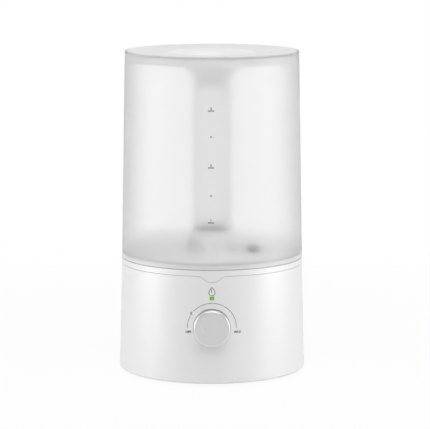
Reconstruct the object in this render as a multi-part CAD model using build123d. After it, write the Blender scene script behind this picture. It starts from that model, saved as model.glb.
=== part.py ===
from build123d import *
import os
from math import asin, atan2, cos, pi, radians, sin, sqrt, tan

# Cool mist humidifier. A frosted tank with a mist tube and a sunken lid lifts off a round base, which
# holds the trough, the mist maker, the fan and the controls.
# Millimetres, +Z up, front at -Y. The origin is the middle of the footprint, on the table.

# Outer form
overall_height = 305.5
foot_height = 3.0  # lower edge of the base above the table
base_diameter = 177.0  # at the lower edge of the base
joint_diameter = 171.6  # at the line between tank and base
top_diameter = 164.4  # of the tank, level with the top of the lid

# Walls
base_wall = 2.5
tank_wall_thickness = 2.5
trough_wall = 2.3
tank_floor_thickness = 2.2
lid_thickness = 2.0

# Clearances
rest_gap = 0.3  # between bodies that rest on each other
seat_gap = 0.05  # around pieces that are pushed, glued or screwed into each other
running_gap = 0.05  # around a turning shaft
overshoot = 2.0  # how far a cutting tool runs past the face that it cuts

# Base shell, its seam under the trough band and the tab at the front
base_edge_round = 2.0
seam_height = 103.9
band_height = 5.4  # from the seam to the middle of the line between tank and base
joint_height = seam_height + band_height
tab_drop = 5.5  # below the seam
tab_bottom_height = seam_height - tab_drop
tab_top_width = 22.0
tab_bottom_width = 7.1
tab_round = 4.0
tab_gap = 0.3  # between the shell and the band with its tab

# Bottom cover, feet and screws
cover_recess = 0.5
cover_thickness = 2.5
cover_gap = 0.3
foot_diameter = 14.0
foot_inset = 14.0  # from the inside of the shell to the middle of a foot
foot_angles = (30.0, 150.0, 210.0, 330.0)
screw_diameter = 2.8
screw_head_diameter = 5.4
screw_head_height = 1.5
screw_slot_width = 0.9
screw_slot_depth = 0.8
boss_diameter = 7.6
rib_width = 3.0
bottom_screw_inset = 10.0  # from the inside of the shell
bottom_screw_angles = (45.0, 135.0, 225.0, 315.0)
bottom_boss_length = 12.0
bottom_screw_length = 11.0
trough_screw_angles = (65.0, 115.0, 245.0, 295.0)
trough_boss_length = 11.6
trough_screw_length = 10.0
lug_thickness = 3.0
lug_width = 11.0
lug_gap = 1.2

# Knob, potentiometer and control board
knob_height = 56.0
knob_diameter = 33.9
knob_protrusion = 7.3
knob_edge_round = 1.6
knob_skirt = 2.0
knob_face_thickness = 2.6
knob_recess_gap = 0.6
knob_recess_depth = 2.5
panel_wall = 2.5
cap_rim = 1.8  # of the knob around its cap
cap_diameter = knob_diameter - 2 * cap_rim
cap_thickness = 0.8
dimple_diameter = 4.0
dimple_depth = 0.35
dimple_circle_radius = 7.4
dimple_angle = 188.0  # at the off end, seen from the front, from +X towards +Z
hub_diameter = 10.0
hub_gap = 0.6
shaft_diameter = 6.0
shaft_flat = 1.0  # cut off one side of the shaft
shaft_in_face = 0.4  # how far the shaft reaches into the knob's face
pot_gap = 2.15  # behind the panel
pot_width = 16.0
pot_length = 18.0
pot_depth = 7.0
pot_back_wall = 0.8
bushing_diameter = 9.0
bushing_length = 1.5
bushing_gap = 0.5
control_board_thickness = 1.6
control_board_width = 34.0
control_board_margin = 5.0  # beyond the lamp at the top and the screws below
panel_boss_diameter = 6.0
panel_boss_offset_x = 13.0
panel_boss_offset_z = 20.0
panel_screw_length = 6.0
panel_plug_drop = 16.0  # below the knob's axis

# Lamp and its window
lamp_gap = 9.85  # above the knob's recess
lamp_height = knob_height + knob_diameter / 2 + knob_recess_gap + lamp_gap
window_width = 4.0
window_height = 3.6
window_gap = 0.1
lamp_diameter = 3.0
lamp_length = 5.0

# Inlet socket at the back
jack_height = 24.0
jack_barrel_diameter = 11.6
jack_flange_diameter = 14.4
jack_flange_thickness = 3.2
jack_seat_depth = 0.6
jack_bore_diameter = 5.7
jack_bore_depth = 9.5
jack_length = 19.0  # behind the flange
jack_pin_diameter = 2.1
jack_pin_recess = 0.5
jack_pin_root = 4.0
jack_pin_root_diameter = 3.2
jack_nut_flats = 15.0
jack_nut_thickness = 3.0
jack_gap = 0.2

# Trough
lip_height = 2.2
lip_gap = 0.5
basin_gap = 1.1  # behind the control board
basin_depth = 19.6
well_diameter = 44.0
well_depth = 10.0
tower_width = 34.0
tower_length = 44.0
tower_wall = 2.0
tower_round = 4.0
tower_height = 37.7
spigot_length = 6.0

# Mist maker
disc_diameter = 20.0
disc_thickness = 1.2
disc_window_diameter = 16.0
seal_diameter = 24.0
seal_height = 3.5
retainer_thickness = 2.5
retainer_screw_angles = (90.0, 210.0, 330.0)
retainer_boss_diameter = 5.4
retainer_boss_gap = 0.8  # beside the seal
retainer_screw_circle = seal_diameter / 2 + retainer_boss_gap + retainer_boss_diameter / 2
retainer_margin = 3.5  # beyond the screws
retainer_diameter = 2 * (retainer_screw_circle + retainer_margin)
retainer_screw_diameter = 2.0
retainer_screw_head = 4.2
retainer_screw_length = 5.0

# Mist tube and tank floor
mist_tube_diameter = 35.2
mist_tube_wall = 1.8
mist_tube_drop = 12.5  # below the tank floor
collar_wall = 2.4
collar_height = 20.3
floor_gap = 1.15  # above the trough's lip
pocket_gap = 2.0  # around the air tower
air_gap = 4.8  # above the air tower

# Valve in the tank floor
cage_diameter = 34.0
cage_wall = 1.8
cage_gap = 2.0  # beside the collar
cage_roof = 1.6
cage_window_width = 12.0
cage_window_height = 6.0
valve_drop = 5.0
outlet_diameter = 16.0
nozzle_wall = 2.0
nozzle_length = 5.2
valve_stroke = 3.5
valve_seal_diameter = 22.0
valve_seal_thickness = 1.5
plunger_head_diameter = 20.0
plunger_head_thickness = 1.5
plunger_stem_diameter = 5.0
plunger_stem_reach = 0.5  # below the valve cup
plunger_guide_diameter = 4.0
guide_gap = 0.4
guide_margin = 0.5
spring_space = 5.0
spring_diameter = 10.0  # at the middle of the wire
spring_wire = 0.8
spring_turns = 3
spring_steps_per_turn = 4
spring_end_gap = 0.1

# Float on its post
post_diameter = 6.0
post_seat_diameter = 11.0
post_seat_height = 1.2
float_gap = 0.4
float_diameter = 28.0
float_height = 9.0
magnet_diameter = 22.0
magnet_bore = 15.0
magnet_thickness = 2.5
pad_diameter = 25.0
pad_bore = 12.0
pad_thickness = 1.5
reed_length = 16.0
reed_width = 7.0
reed_height = 5.0

# Lid, let into the rim of the tank
tank_rim_wall = 1.5  # of the tank's rim around the lid
lid_edge = 1.6
lid_edge_round = 0.6
lid_gap = 0.4
lid_proud = 0.2  # above the rim of the tank
plug_gap = 0.4
plug_depth = 8.0
plug_wall = 2.0
step_inset = 8.3  # width of the flat edge
step_slope = 0.8
step_depth = 0.5
dish_depth = 1.6
bowl_mouth_diameter = 82.0  # where the smooth lip starts
lip_radius = 12.0
bowl_depth = 22.5
bowl_floor_rim = 4.0  # flat ring around the throat
spigot_gap = 0.4  # inside the mist tube
spigot_wall = 1.6
spigot_depth = 8.0
guard_wall = 1.3
guard_height = 6.0
guard_disc_diameter = 15.0
guard_arm_width = 2.6
guard_arm_angles = (30.0, 150.0, 270.0)
guard_plate = 1.2

# Fan and air duct
fan_size = 50.0
fan_thickness = 15.0
fan_wall = 2.0
fan_bore = fan_size - 2 * fan_wall
fan_corner_round = 3.0
fan_hole_inset = 5.0
fan_hole_spacing = fan_size - 2 * fan_hole_inset
fan_post_height = 16.0
fan_post_diameter = 7.0
fan_plate = 2.0
fan_strut_width = 3.0
fan_strut_count = 4
fan_hub_diameter = 22.0
fan_blade_gap = 0.8
fan_blade_count = 7
fan_blade_thickness = 1.2
fan_blade_pitch = 38.0
fan_hub_wall = 1.5
fan_shaft_diameter = 3.0
fan_bearing_wall = 1.5
fan_end_gap = 0.5
stator_diameter = 16.0
stator_height = 6.0
fan_screw_length = 8.0
duct_wall = 2.0
duct_gap = 0.2
duct_well_gap = 1.5
grille_slots = 5
grille_slot_width = 3.0
grille_pitch = 7.0
grille_margin = 3.0

# Driver board
driver_board_width = 54.0
driver_board_length = 70.0
driver_board_thickness = 1.6
driver_board_gap = 8.8  # from its corner to the inside of the shell
driver_board_y = 3.0
driver_post_height = 10.0
driver_post_diameter = 6.0
driver_screw_inset = 4.0
driver_screw_length = 6.0
plug_width = 7.0
plug_length = 8.0
plug_height = 6.0
sink_length = 26.0
sink_height = 26.0
sink_plate = 3.0
sink_depth = 12.0
sink_fins = 5
sink_fin_thickness = 1.6
sink_inset = (19.0, 6.0)  # its plate and its end from the right and the back edge of the board
transistor_width = 10.0
transistor_depth = 4.6
transistor_height = 15.0
coil_diameter = 14.0
coil_height = 14.0
coil_place = (-6.0, -12.0)  # from the middle of the board
capacitor_diameter = 10.0
capacitor_height = 18.0
capacitor_insets = ((9.0, 23.0), (9.0, 10.0))  # from the right and the front edge
fan_plug_inset = (4.0, 17.0)  # from the left and the back edge
disc_plug_inset = (4.0, 37.0)  # from the left and the back edge
panel_plug_inset = (12.0, 5.0)  # from the left and the front edge
reed_plug_inset = (25.0, 5.0)  # from the right and the front edge
power_plug_inset = (15.0, 5.0)  # from the left and the back edge

# Leads inside the base
lead_diameter = 2.4
lead_bend_share = 0.45
lead_run = 12.0  # straight out of a piece
lead_rise = 13.0  # straight up from a plug
fan_lead_y = 12.0
fan_lead_bend = (6.0, 16.0, 7.0)  # in plan, and above the middle of the fan
disc_lead_x = 4.0
disc_lead_bend = (10.0, 3.0, 22.0)  # in plan, and above the plug, as for those below
panel_lead_bend = (11.0, -40.0, 17.0)
power_lead_bend = (13.0, 46.0, 6.0)
reed_lead_bend = (5.0, -14.0, 26.0)  # from the plug along x

STAND = (Align.CENTER, Align.CENTER, Align.MIN)


def outer_radius(height):
    """Radius of the outside at a height: one cone below the joint, another above it."""
    if height <= joint_height:
        share = (height - foot_height) / (joint_height - foot_height)
        return (base_diameter + (joint_diameter - base_diameter) * share) / 2
    share = (height - joint_height) / (overall_height - joint_height)
    return (joint_diameter + (top_diameter - joint_diameter) * share) / 2


def turned(profile):
    """Solid of revolution from a closed half profile of radius and height."""
    return revolve(Plane.XZ * make_face(profile), Axis.Z)


def frustum(low, high, inset=0.0, run=0.0):
    """Solid between two heights that follows the outside, drawn in by inset and run on past both ends."""
    lower = outer_radius(low) - inset
    upper = outer_radius(high) - inset
    spread = (upper - lower) / (high - low) * run
    start = low - run
    end = high + run
    return turned(Polyline((0, start), (lower - spread, start), (upper + spread, end), (0, end), close=True))


def rod(diameter, low, high, x=0.0, y=0.0):
    """Upright cylinder."""
    return Pos(x, y, low) * Cylinder(diameter / 2, high - low, align=STAND)


def tube(outside, inside, low, high, x=0.0, y=0.0):
    """Upright tube, given by its two diameters."""
    return rod(outside, low, high, x, y) - rod(inside, low - overshoot, high + overshoot, x, y)


def block(width, length, low, high, x=0.0, y=0.0):
    """Upright block, centred on x and y."""
    return Pos(x, y, low) * Box(width, length, high - low, align=STAND)


def rounded_block(width, length, corner, low, high, x=0.0, y=0.0):
    """Upright block with round corners in plan."""
    return Pos(x, y, low) * extrude(RectangleRounded(width, length, corner), high - low)


def facing_front(piece, height=0.0):
    """Turn a piece built along +Z so that it points out of the front, on an axis at a height."""
    return Pos(0, 0, height) * Rot(90, 0, 0) * piece


def facing_back(piece, height=0.0):
    """Turn a piece built along +Z so that it points out of the back, on an axis at a height."""
    return Pos(0, 0, height) * Rot(-90, 0, 0) * piece


def polar(radius, angle):
    """Point in plan at a radius and an angle in degrees."""
    return radius * cos(radians(angle)), radius * sin(radians(angle))


def screw_up(x, y, seat, length, diameter=screw_diameter, head=screw_head_diameter):
    """Pan-head screw that points up, with its head under the seat."""
    shank = rod(diameter, seat, seat + length, x, y)
    cap = rod(head, seat - screw_head_height, seat, x, y)
    low = seat - screw_head_height - overshoot
    high = seat - screw_head_height + screw_slot_depth
    slot = block(head / 2, screw_slot_width, low, high, x, y)
    cross = block(screw_slot_width, head / 2, low, high, x, y)
    return shank + cap - slot - cross


def screw_down(x, y, seat, length):
    """Pan-head screw that points down, with its head on the seat."""
    return Pos(x, y, seat) * Rot(180, 0, 0) * screw_up(0, 0, 0, length)


# Heights of the base, from the table up
cover_bottom = foot_height + cover_recess
cover_top = cover_bottom + cover_thickness
fan_bottom = cover_top + fan_post_height
fan_top = fan_bottom + fan_thickness
board_bottom = cover_top + driver_post_height
board_top = board_bottom + driver_board_thickness
deck_top = seam_height
deck_bottom = deck_top - trough_wall
basin_top = deck_top - basin_depth
basin_bottom = basin_top - trough_wall
well_top = basin_top - well_depth
well_bottom = well_top - trough_wall
ledge_height = joint_height - rest_gap / 2
tank_bottom = joint_height + rest_gap / 2
lip_top = ledge_height + lip_height
lug_top = deck_bottom - trough_boss_length
lug_bottom = lug_top - lug_thickness

# Distances from the axis to the front, behind the knob
shell_front = outer_radius(knob_height)
recess_floor = shell_front - knob_recess_depth
panel_inside = recess_floor - panel_wall
pot_front = panel_inside - pot_gap
control_board_front = pot_front - pot_depth
control_board_back = control_board_front - control_board_thickness
knob_back = recess_floor + rest_gap
knob_front = shell_front + knob_protrusion
knob_inside = knob_front - knob_face_thickness
hub_back = pot_front + bushing_length + bushing_gap
shaft_front = knob_inside + shaft_in_face

# Plan of the base
outside = max(base_diameter, joint_diameter) / 2 + overshoot  # beyond the widest place of the base
basin_outer = 2 * (control_board_back - basin_gap)
basin_inner = basin_outer - 2 * trough_wall
well_outer = well_diameter + 2 * trough_wall
tank_inside = outer_radius(tank_bottom) - tank_wall_thickness
shell_inside = outer_radius(seam_height) - base_wall
lip_outer = 2 * (min(tank_inside, shell_inside) - lip_gap)
lip_inner = lip_outer - 2 * trough_wall
duct_reach = tower_width / 2 + duct_gap + duct_wall
tower_x = -(well_outer / 2 + duct_well_gap + duct_reach)
bottom_screw_radius = outer_radius(cover_top) - base_wall - bottom_screw_inset
foot_circle_radius = outer_radius(cover_bottom) - base_wall - foot_inset
board_side = sqrt((outer_radius(board_bottom) - base_wall) ** 2 - (driver_board_length / 2 + driver_board_y) ** 2)
driver_board_x = board_side - driver_board_gap - driver_board_width / 2
trough_screw_radius = (basin_outer + lip_outer) / 4



def in_board(inset, side, end):
    """Plan position at an inset from an edge of the driver board on each axis: side and end are -1 or 1."""
    x = driver_board_x + side * (driver_board_width / 2 - inset[0])
    y = driver_board_y + end * (driver_board_length / 2 - inset[1])
    return x, y


# Places on the driver board
sink_back = in_board(sink_inset, 1, 1)
capacitor_places = [in_board(inset, 1, -1) for inset in capacitor_insets]
fan_plug = in_board(fan_plug_inset, -1, 1)
disc_plug = in_board(disc_plug_inset, -1, 1)
panel_plug = in_board(panel_plug_inset, -1, -1)
reed_plug = in_board(reed_plug_inset, 1, -1)
power_plug = in_board(power_plug_inset, -1, 1)

# Tank floor, valve and float, from the trough's lip up and down
floor_bottom = lip_top + floor_gap
floor_top = floor_bottom + tank_floor_thickness
tower_top = basin_top + tower_height
pocket_roof = tower_top + air_gap
pocket_top = pocket_roof + tank_floor_thickness
collar_diameter = mist_tube_diameter + 2 * collar_wall
valve_x = collar_diameter / 2 + cage_gap + cage_diameter / 2
cup_bottom = floor_bottom - valve_drop
cup_top = cup_bottom + tank_floor_thickness
cup_inner = cage_diameter + 2 * seat_gap
cup_outer = cup_inner + 2 * tank_floor_thickness
nozzle_bottom = cup_bottom - nozzle_length
seal_bottom = cup_top + rest_gap + valve_stroke
head_bottom = seal_bottom + valve_seal_thickness
head_top = head_bottom + plunger_head_thickness
roof_bottom = head_top + spring_space
cage_top = roof_bottom + cage_roof
guide_top = cage_top + valve_stroke + guide_margin
stem_bottom = cup_bottom - plunger_stem_reach
post_top = stem_bottom - rest_gap
float_bottom = basin_top + post_seat_height + rest_gap
float_top = float_bottom + float_height
pad_top = float_top + pad_thickness
float_travel = nozzle_bottom - rest_gap - pad_top
reed_x = valve_x + reed_length / 2  # under the outer half of the float's magnet

# Lid heights
tank_top = overall_height - lid_proud
flange_bottom = overall_height - lid_edge
ledge_top = flange_bottom - lid_gap
bowl_floor = overall_height - bowl_depth
bowl_under = bowl_floor - lid_thickness
spigot_bottom = bowl_under - spigot_depth
mist_tube_top = bowl_under - rest_gap
mist_tube_bottom = floor_bottom - mist_tube_drop
mist_tube_bore = mist_tube_diameter - 2 * mist_tube_wall
spigot_outer = mist_tube_bore - 2 * spigot_gap
throat_diameter = spigot_outer - 2 * spigot_wall

# Mist maker heights
seal_base = well_bottom - seal_height
disc_bottom = seal_base + (seal_height - disc_thickness) / 2
retainer_bottom = seal_base - retainer_thickness

# Inlet socket, as distances from the axis to the back
jack_seat = outer_radius(jack_height) - jack_seat_depth
jack_face = jack_seat + jack_flange_thickness
jack_bore_end = jack_face - jack_bore_depth
jack_back = jack_seat - jack_length
jack_panel_inside = jack_seat - panel_wall


def tab_prism(rise):
    """Prism of the front tab, with soft corners where it leaves the seam, raised by a gap."""
    reach = tab_top_width / 2 + 2 * tab_round
    edge = FilletPolyline(
        (-reach, seam_height + rise),
        (-tab_top_width / 2, seam_height + rise),
        (-tab_bottom_width / 2, tab_bottom_height + rise),
        (tab_bottom_width / 2, tab_bottom_height + rise),
        (tab_top_width / 2, seam_height + rise),
        (reach, seam_height + rise),
        radius=tab_round,
    )
    top = Polyline(
        (reach, seam_height + rise),
        (reach, seam_height + rise + overshoot),
        (-reach, seam_height + rise + overshoot),
        (-reach, seam_height + rise),
    )
    return facing_front(extrude(make_face(edge + top), outside))


def panel_boss_places():
    """Places of the control board's bosses, from the knob's axis."""
    return [
        (side * panel_boss_offset_x, level * panel_boss_offset_z)
        for side in (-1, 1)
        for level in (-1, 1)
    ]


def make_base_shell():
    """Outer shell of the base with its bosses, lugs, knob recess, lamp window and socket seat."""
    shell_top = seam_height - tab_gap
    solid = frustum(foot_height, shell_top)
    bottom_edge = solid.edges().group_by(Axis.Z)[0]
    solid = fillet(bottom_edge, min(base_edge_round, 0.8 * base_wall))
    envelope = frustum(foot_height, shell_top, base_wall / 2)
    shell = solid - frustum(foot_height, shell_top, base_wall, overshoot)

    inner = Part()
    for angle in bottom_screw_angles:
        x, y = polar(bottom_screw_radius, angle)
        top = cover_top + bottom_boss_length
        inner += rod(boss_diameter, cover_top, top, x, y)
        rib_x = (bottom_screw_radius + outside) / 2
        rib = block(outside - bottom_screw_radius, rib_width, cover_top, top, rib_x)
        inner += Rot(0, 0, angle) * rib
    for angle in trough_screw_angles:
        start = basin_outer / 2 + lug_gap
        lug = block(outside - start, lug_width, lug_bottom, lug_top, (start + outside) / 2)
        inner += Rot(0, 0, angle) * lug
    recess_diameter = knob_diameter + 2 * knob_recess_gap
    pad_diameter_front = recess_diameter + 2 * base_wall
    inner += facing_front(rod(pad_diameter_front, panel_inside, outside), knob_height)
    for x, y in panel_boss_places():
        inner += facing_front(rod(panel_boss_diameter, control_board_front, outside, x, y), knob_height)
    jack_pad = jack_flange_diameter + 2 * base_wall
    inner += facing_back(rod(jack_pad, jack_panel_inside, outside), jack_height)
    shell += inner & envelope

    for angle in bottom_screw_angles:
        x, y = polar(bottom_screw_radius, angle)
        depth = bottom_screw_length + seat_gap
        shell -= rod(screw_diameter + 2 * seat_gap, cover_bottom, cover_bottom + depth, x, y)
    for angle in trough_screw_angles:
        x, y = polar(trough_screw_radius, angle)
        shell -= rod(screw_diameter + 2 * seat_gap, lug_bottom - overshoot, lug_top + overshoot, x, y)
    shell -= facing_front(rod(recess_diameter, recess_floor, outside), knob_height)
    hub_hole = hub_diameter + 2 * hub_gap
    shell -= facing_front(rod(hub_hole, panel_inside - overshoot, outside), knob_height)
    for x, y in panel_boss_places():
        end = control_board_back + panel_screw_length + seat_gap
        hole = rod(screw_diameter + 2 * seat_gap, control_board_back, end, x, y)
        shell -= facing_front(hole, knob_height)
    shell -= facing_front(block(window_width, window_height, control_board_front, outside), lamp_height)
    seat = jack_flange_diameter + 2 * jack_gap
    shell -= facing_back(rod(seat, jack_seat, outside), jack_height)
    hole = jack_barrel_diameter + 2 * jack_gap
    shell -= facing_back(rod(hole, jack_panel_inside - overshoot, outside), jack_height)
    nut_room = jack_nut_flats / cos(radians(30)) + 2 * jack_gap
    nut_low = jack_panel_inside - jack_nut_thickness - overshoot
    shell -= facing_back(rod(nut_room, nut_low, jack_panel_inside), jack_height)
    return shell - tab_prism(-tab_gap)


def fan_corners():
    """Screw places of the fan in plan."""
    half = fan_hole_spacing / 2
    return [(tower_x + sx * half, sy * half) for sx in (-1, 1) for sy in (-1, 1)]


def driver_corners():
    """Screw places of the driver board in plan."""
    half_x = driver_board_width / 2 - driver_screw_inset
    half_y = driver_board_length / 2 - driver_screw_inset
    return [
        (driver_board_x + sx * half_x, driver_board_y + sy * half_y)
        for sx in (-1, 1)
        for sy in (-1, 1)
    ]


def make_bottom_cover():
    """Round cover under the base with an intake grille and the posts of the fan and the board."""
    diameter = 2 * (outer_radius(cover_top) - base_wall - cover_gap)
    cover = rod(diameter, cover_bottom, cover_top)
    for x, y in fan_corners():
        cover += rod(fan_post_diameter, cover_top, fan_bottom, x, y)
    for x, y in driver_corners():
        cover += rod(driver_post_diameter, cover_top, board_bottom, x, y)
    for x, y in fan_corners():
        low = fan_bottom + fan_plate - fan_screw_length - seat_gap
        cover -= rod(screw_diameter + 2 * seat_gap, low, fan_bottom + overshoot, x, y)
    for x, y in driver_corners():
        low = board_top - driver_screw_length - seat_gap
        cover -= rod(screw_diameter + 2 * seat_gap, low, board_bottom + overshoot, x, y)
    for angle in bottom_screw_angles:
        x, y = polar(bottom_screw_radius, angle)
        cover -= rod(screw_diameter + 2 * seat_gap, cover_bottom - overshoot, cover_top + overshoot, x, y)
        sink = rod(
            screw_head_diameter + 2 * seat_gap,
            cover_bottom - overshoot,
            cover_bottom + screw_head_height,
            x,
            y,
        )
        cover -= sink
    reach = fan_bore / 2 - grille_margin
    for index in range(grille_slots):
        offset = (index - (grille_slots - 1) / 2) * grille_pitch
        length = 2 * sqrt(reach**2 - offset**2)
        slot = rounded_block(
            grille_slot_width,
            length,
            0.49 * grille_slot_width,
            cover_bottom - overshoot,
            cover_top + overshoot,
            tower_x + offset,
        )
        cover -= slot
    return cover


def make_rubber_feet():
    """Four round feet under the bottom cover."""
    feet = []
    for angle in foot_angles:
        x, y = polar(foot_circle_radius, angle)
        foot = rod(foot_diameter, 0, cover_bottom, x, y)
        lower_edge = foot.edges().group_by(Axis.Z)[0]
        feet.append(fillet(lower_edge, 0.2 * foot_height))
    return Compound(children=feet)


def make_bottom_screws():
    """Screws that hold the bottom cover."""
    seat = cover_bottom + screw_head_height
    length = bottom_screw_length - screw_head_height
    places = [polar(bottom_screw_radius, angle) for angle in bottom_screw_angles]
    return Compound(children=[screw_up(x, y, seat, length) for x, y in places])


def make_trough_screws():
    """Screws that hold the trough on the lugs of the base shell."""
    places = [polar(trough_screw_radius, angle) for angle in trough_screw_angles]
    return Compound(children=[screw_up(x, y, lug_bottom, trough_screw_length) for x, y in places])


def retainer_places():
    """Screw places of the transducer retainer in plan."""
    return [polar(retainer_screw_circle, angle) for angle in retainer_screw_angles]


def make_trough():
    """Water trough: band and tab, lip, deck, basin, well, air tower and float post in one moulding."""
    profile = Polyline(
        (disc_window_diameter / 2, well_bottom),
        (well_outer / 2, well_bottom),
        (well_outer / 2, basin_bottom),
        (basin_outer / 2, basin_bottom),
        (basin_outer / 2, deck_bottom),
        (lip_outer / 2, deck_bottom),
        (lip_outer / 2, seam_height),
        (outer_radius(seam_height), seam_height),
        (outer_radius(ledge_height), ledge_height),
        (lip_outer / 2, ledge_height),
        (lip_outer / 2, lip_top),
        (lip_inner / 2, lip_top),
        (lip_inner / 2, deck_top),
        (basin_inner / 2, deck_top),
        (basin_inner / 2, basin_top),
        (well_diameter / 2, basin_top),
        (well_diameter / 2, well_top),
        (disc_window_diameter / 2, well_top),
        close=True,
    )
    trough = turned(profile)
    skirt = frustum(tab_bottom_height, seam_height + overshoot)
    skirt -= frustum(tab_bottom_height, seam_height + overshoot, base_wall, overshoot)
    trough += skirt & tab_prism(0.0)

    spigot_low = basin_bottom - spigot_length
    trough += rounded_block(tower_width, tower_length, tower_round, spigot_low, tower_top, tower_x)
    passage = rounded_block(
        tower_width - 2 * tower_wall,
        tower_length - 2 * tower_wall,
        tower_round - tower_wall,
        spigot_low - overshoot,
        tower_top + overshoot,
        tower_x,
    )
    trough -= passage
    trough += rod(post_diameter, basin_top - trough_wall / 2, post_top, valve_x)
    trough += rod(post_seat_diameter, basin_top - trough_wall / 2, basin_top + post_seat_height, valve_x)

    for angle in trough_screw_angles:
        x, y = polar(trough_screw_radius, angle)
        trough += rod(boss_diameter, lug_top, deck_bottom + trough_wall / 2, x, y)
    for angle in trough_screw_angles:
        x, y = polar(trough_screw_radius, angle)
        high = lug_bottom + trough_screw_length + seat_gap
        trough -= rod(screw_diameter + 2 * seat_gap, lug_top - overshoot, high, x, y)
    for x, y in retainer_places():
        trough += rod(retainer_boss_diameter, seal_base, well_bottom + trough_wall / 2, x, y)
    for x, y in retainer_places():
        high = retainer_bottom + retainer_screw_length + seat_gap
        trough -= rod(retainer_screw_diameter + 2 * seat_gap, seal_base - overshoot, high, x, y)
    return trough


def make_transducer_disc():
    """Ceramic disc that makes the mist."""
    return rod(disc_diameter, disc_bottom, disc_bottom + disc_thickness)


def make_transducer_seal():
    """Soft ring that holds the disc's edge in a groove."""
    ring = tube(seal_diameter, disc_window_diameter, seal_base, well_bottom)
    return ring - rod(disc_diameter + 2 * seat_gap, disc_bottom, disc_bottom + disc_thickness)


def make_transducer_retainer():
    """Plate that presses the seal up against the well."""
    plate = tube(retainer_diameter, disc_window_diameter, retainer_bottom, seal_base)
    for x, y in retainer_places():
        hole = retainer_screw_diameter + 2 * seat_gap
        plate -= rod(hole, retainer_bottom - overshoot, seal_base + overshoot, x, y)
    return plate


def make_transducer_screws():
    """Screws of the retainer."""
    screws = []
    for x, y in retainer_places():
        screw = screw_up(
            x,
            y,
            retainer_bottom,
            retainer_screw_length,
            retainer_screw_diameter,
            retainer_screw_head,
        )
        screws.append(screw)
    return Compound(children=screws)


def make_reed_switch():
    """Moulded reed switch under the basin, beside the well and below the float's magnet."""
    return block(reed_length, reed_width, basin_bottom - reed_height, basin_bottom, reed_x)


def make_float_body():
    """Ring float on its post, with a groove for the magnet."""
    bore = post_diameter + 2 * float_gap
    body = tube(float_diameter, bore, float_bottom, float_top, valve_x)
    groove = tube(
        magnet_diameter + 2 * seat_gap,
        magnet_bore - 2 * seat_gap,
        float_bottom - overshoot,
        float_bottom + magnet_thickness,
        valve_x,
    )
    return body - groove


def make_float_magnet():
    """Ring magnet in the float's lower face."""
    return tube(magnet_diameter, magnet_bore, float_bottom, float_bottom + magnet_thickness, valve_x)


def make_float_pad():
    """Soft pad on the float that shuts the outlet when the water is high enough."""
    return tube(pad_diameter, pad_bore, float_top, pad_top, valve_x)


def make_tank_wall():
    """Frosted wall of the tank with the rebate in its rim that holds the lid."""
    wall = frustum(tank_bottom, tank_top) - frustum(tank_bottom, tank_top, tank_wall_thickness, overshoot)
    return wall - frustum(ledge_top, tank_top + overshoot, tank_rim_wall)


def make_tank_floor():
    """Floor of the tank with the pocket over the air tower, the tube's collar and the valve cup."""
    floor = frustum(floor_bottom, floor_top, tank_wall_thickness + seat_gap)
    width = tower_width + 2 * pocket_gap
    length = tower_length + 2 * pocket_gap
    corner = tower_round + pocket_gap
    thick = tank_floor_thickness
    floor += rounded_block(
        width + 2 * thick,
        length + 2 * thick,
        corner + thick,
        floor_bottom,
        pocket_top,
        tower_x,
    )
    floor += rod(collar_diameter, floor_bottom, floor_top + collar_height)
    floor += rod(cup_outer, cup_bottom, floor_top, valve_x)
    nozzle_diameter = outlet_diameter + 2 * nozzle_wall
    floor += rod(nozzle_diameter, nozzle_bottom, cup_top, valve_x)
    floor -= rounded_block(width, length, corner, floor_bottom - overshoot, pocket_roof, tower_x)
    tube_hole = mist_tube_diameter + 2 * seat_gap
    floor -= rod(tube_hole, cup_bottom - overshoot, floor_top + collar_height + overshoot)
    floor -= rod(cup_inner, cup_top, floor_top + overshoot, valve_x)
    floor -= rod(outlet_diameter, nozzle_bottom - overshoot, cup_top + overshoot, valve_x)
    return floor


def make_mist_tube():
    """Tube that carries the mist from the trough up to the lid."""
    return tube(mist_tube_diameter, mist_tube_bore, mist_tube_bottom, mist_tube_top)


def make_valve_cage():
    """Cage over the valve: round wall with windows and a roof that guides the plunger."""
    cage = rod(cage_diameter, cup_top, cage_top, valve_x)
    cage -= rod(cage_diameter - 2 * cage_wall, cup_top - overshoot, roof_bottom, valve_x)
    low = cage_top - cage_roof - cage_window_height
    for angle in (0, 90):
        gap = block(2 * cage_diameter, cage_window_width, low, roof_bottom)
        cage -= Pos(valve_x, 0, 0) * Rot(0, 0, angle) * gap
    guide_hole = plunger_guide_diameter + 2 * guide_gap
    return cage - rod(guide_hole, roof_bottom - overshoot, cage_top + overshoot, valve_x)


def make_valve_plunger():
    """Plunger that the post in the base pushes up: stem, head and guide."""
    plunger = rod(plunger_stem_diameter, stem_bottom, head_bottom, valve_x)
    plunger += rod(plunger_head_diameter, head_bottom, head_top, valve_x)
    return plunger + rod(plunger_guide_diameter, head_top, guide_top, valve_x)


def make_valve_seal():
    """Soft washer under the plunger's head."""
    bore = plunger_stem_diameter + 2 * seat_gap
    return tube(valve_seal_diameter, bore, seal_bottom, head_bottom, valve_x)


def spring_point(turn):
    """Point and direction of the spring's wire after a number of turns."""
    low = head_top + spring_end_gap + spring_wire / 2
    high = roof_bottom - spring_end_gap - spring_wire / 2
    rise = (high - low) / spring_turns
    radius = spring_diameter / 2
    angle = 360 * turn
    x, y = polar(radius, angle)
    point = Vector(valve_x + x, y, low + rise * turn)
    across = 2 * pi * radius
    ahead = Vector(-sin(radians(angle)) * across, cos(radians(angle)) * across, rise)
    return point, ahead.normalized()


def spring_gap():
    """Least gap between neighbouring turns of the spring, measured on points along the wire."""
    samples = 48
    points = [spring_point(step / samples)[0] for step in range(spring_turns * samples + 1)]
    pairs = [
        (first - second).length
        for place, first in enumerate(points)
        for second in points[place + samples // 2 :]
    ]
    return min(pairs) - spring_wire


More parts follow.
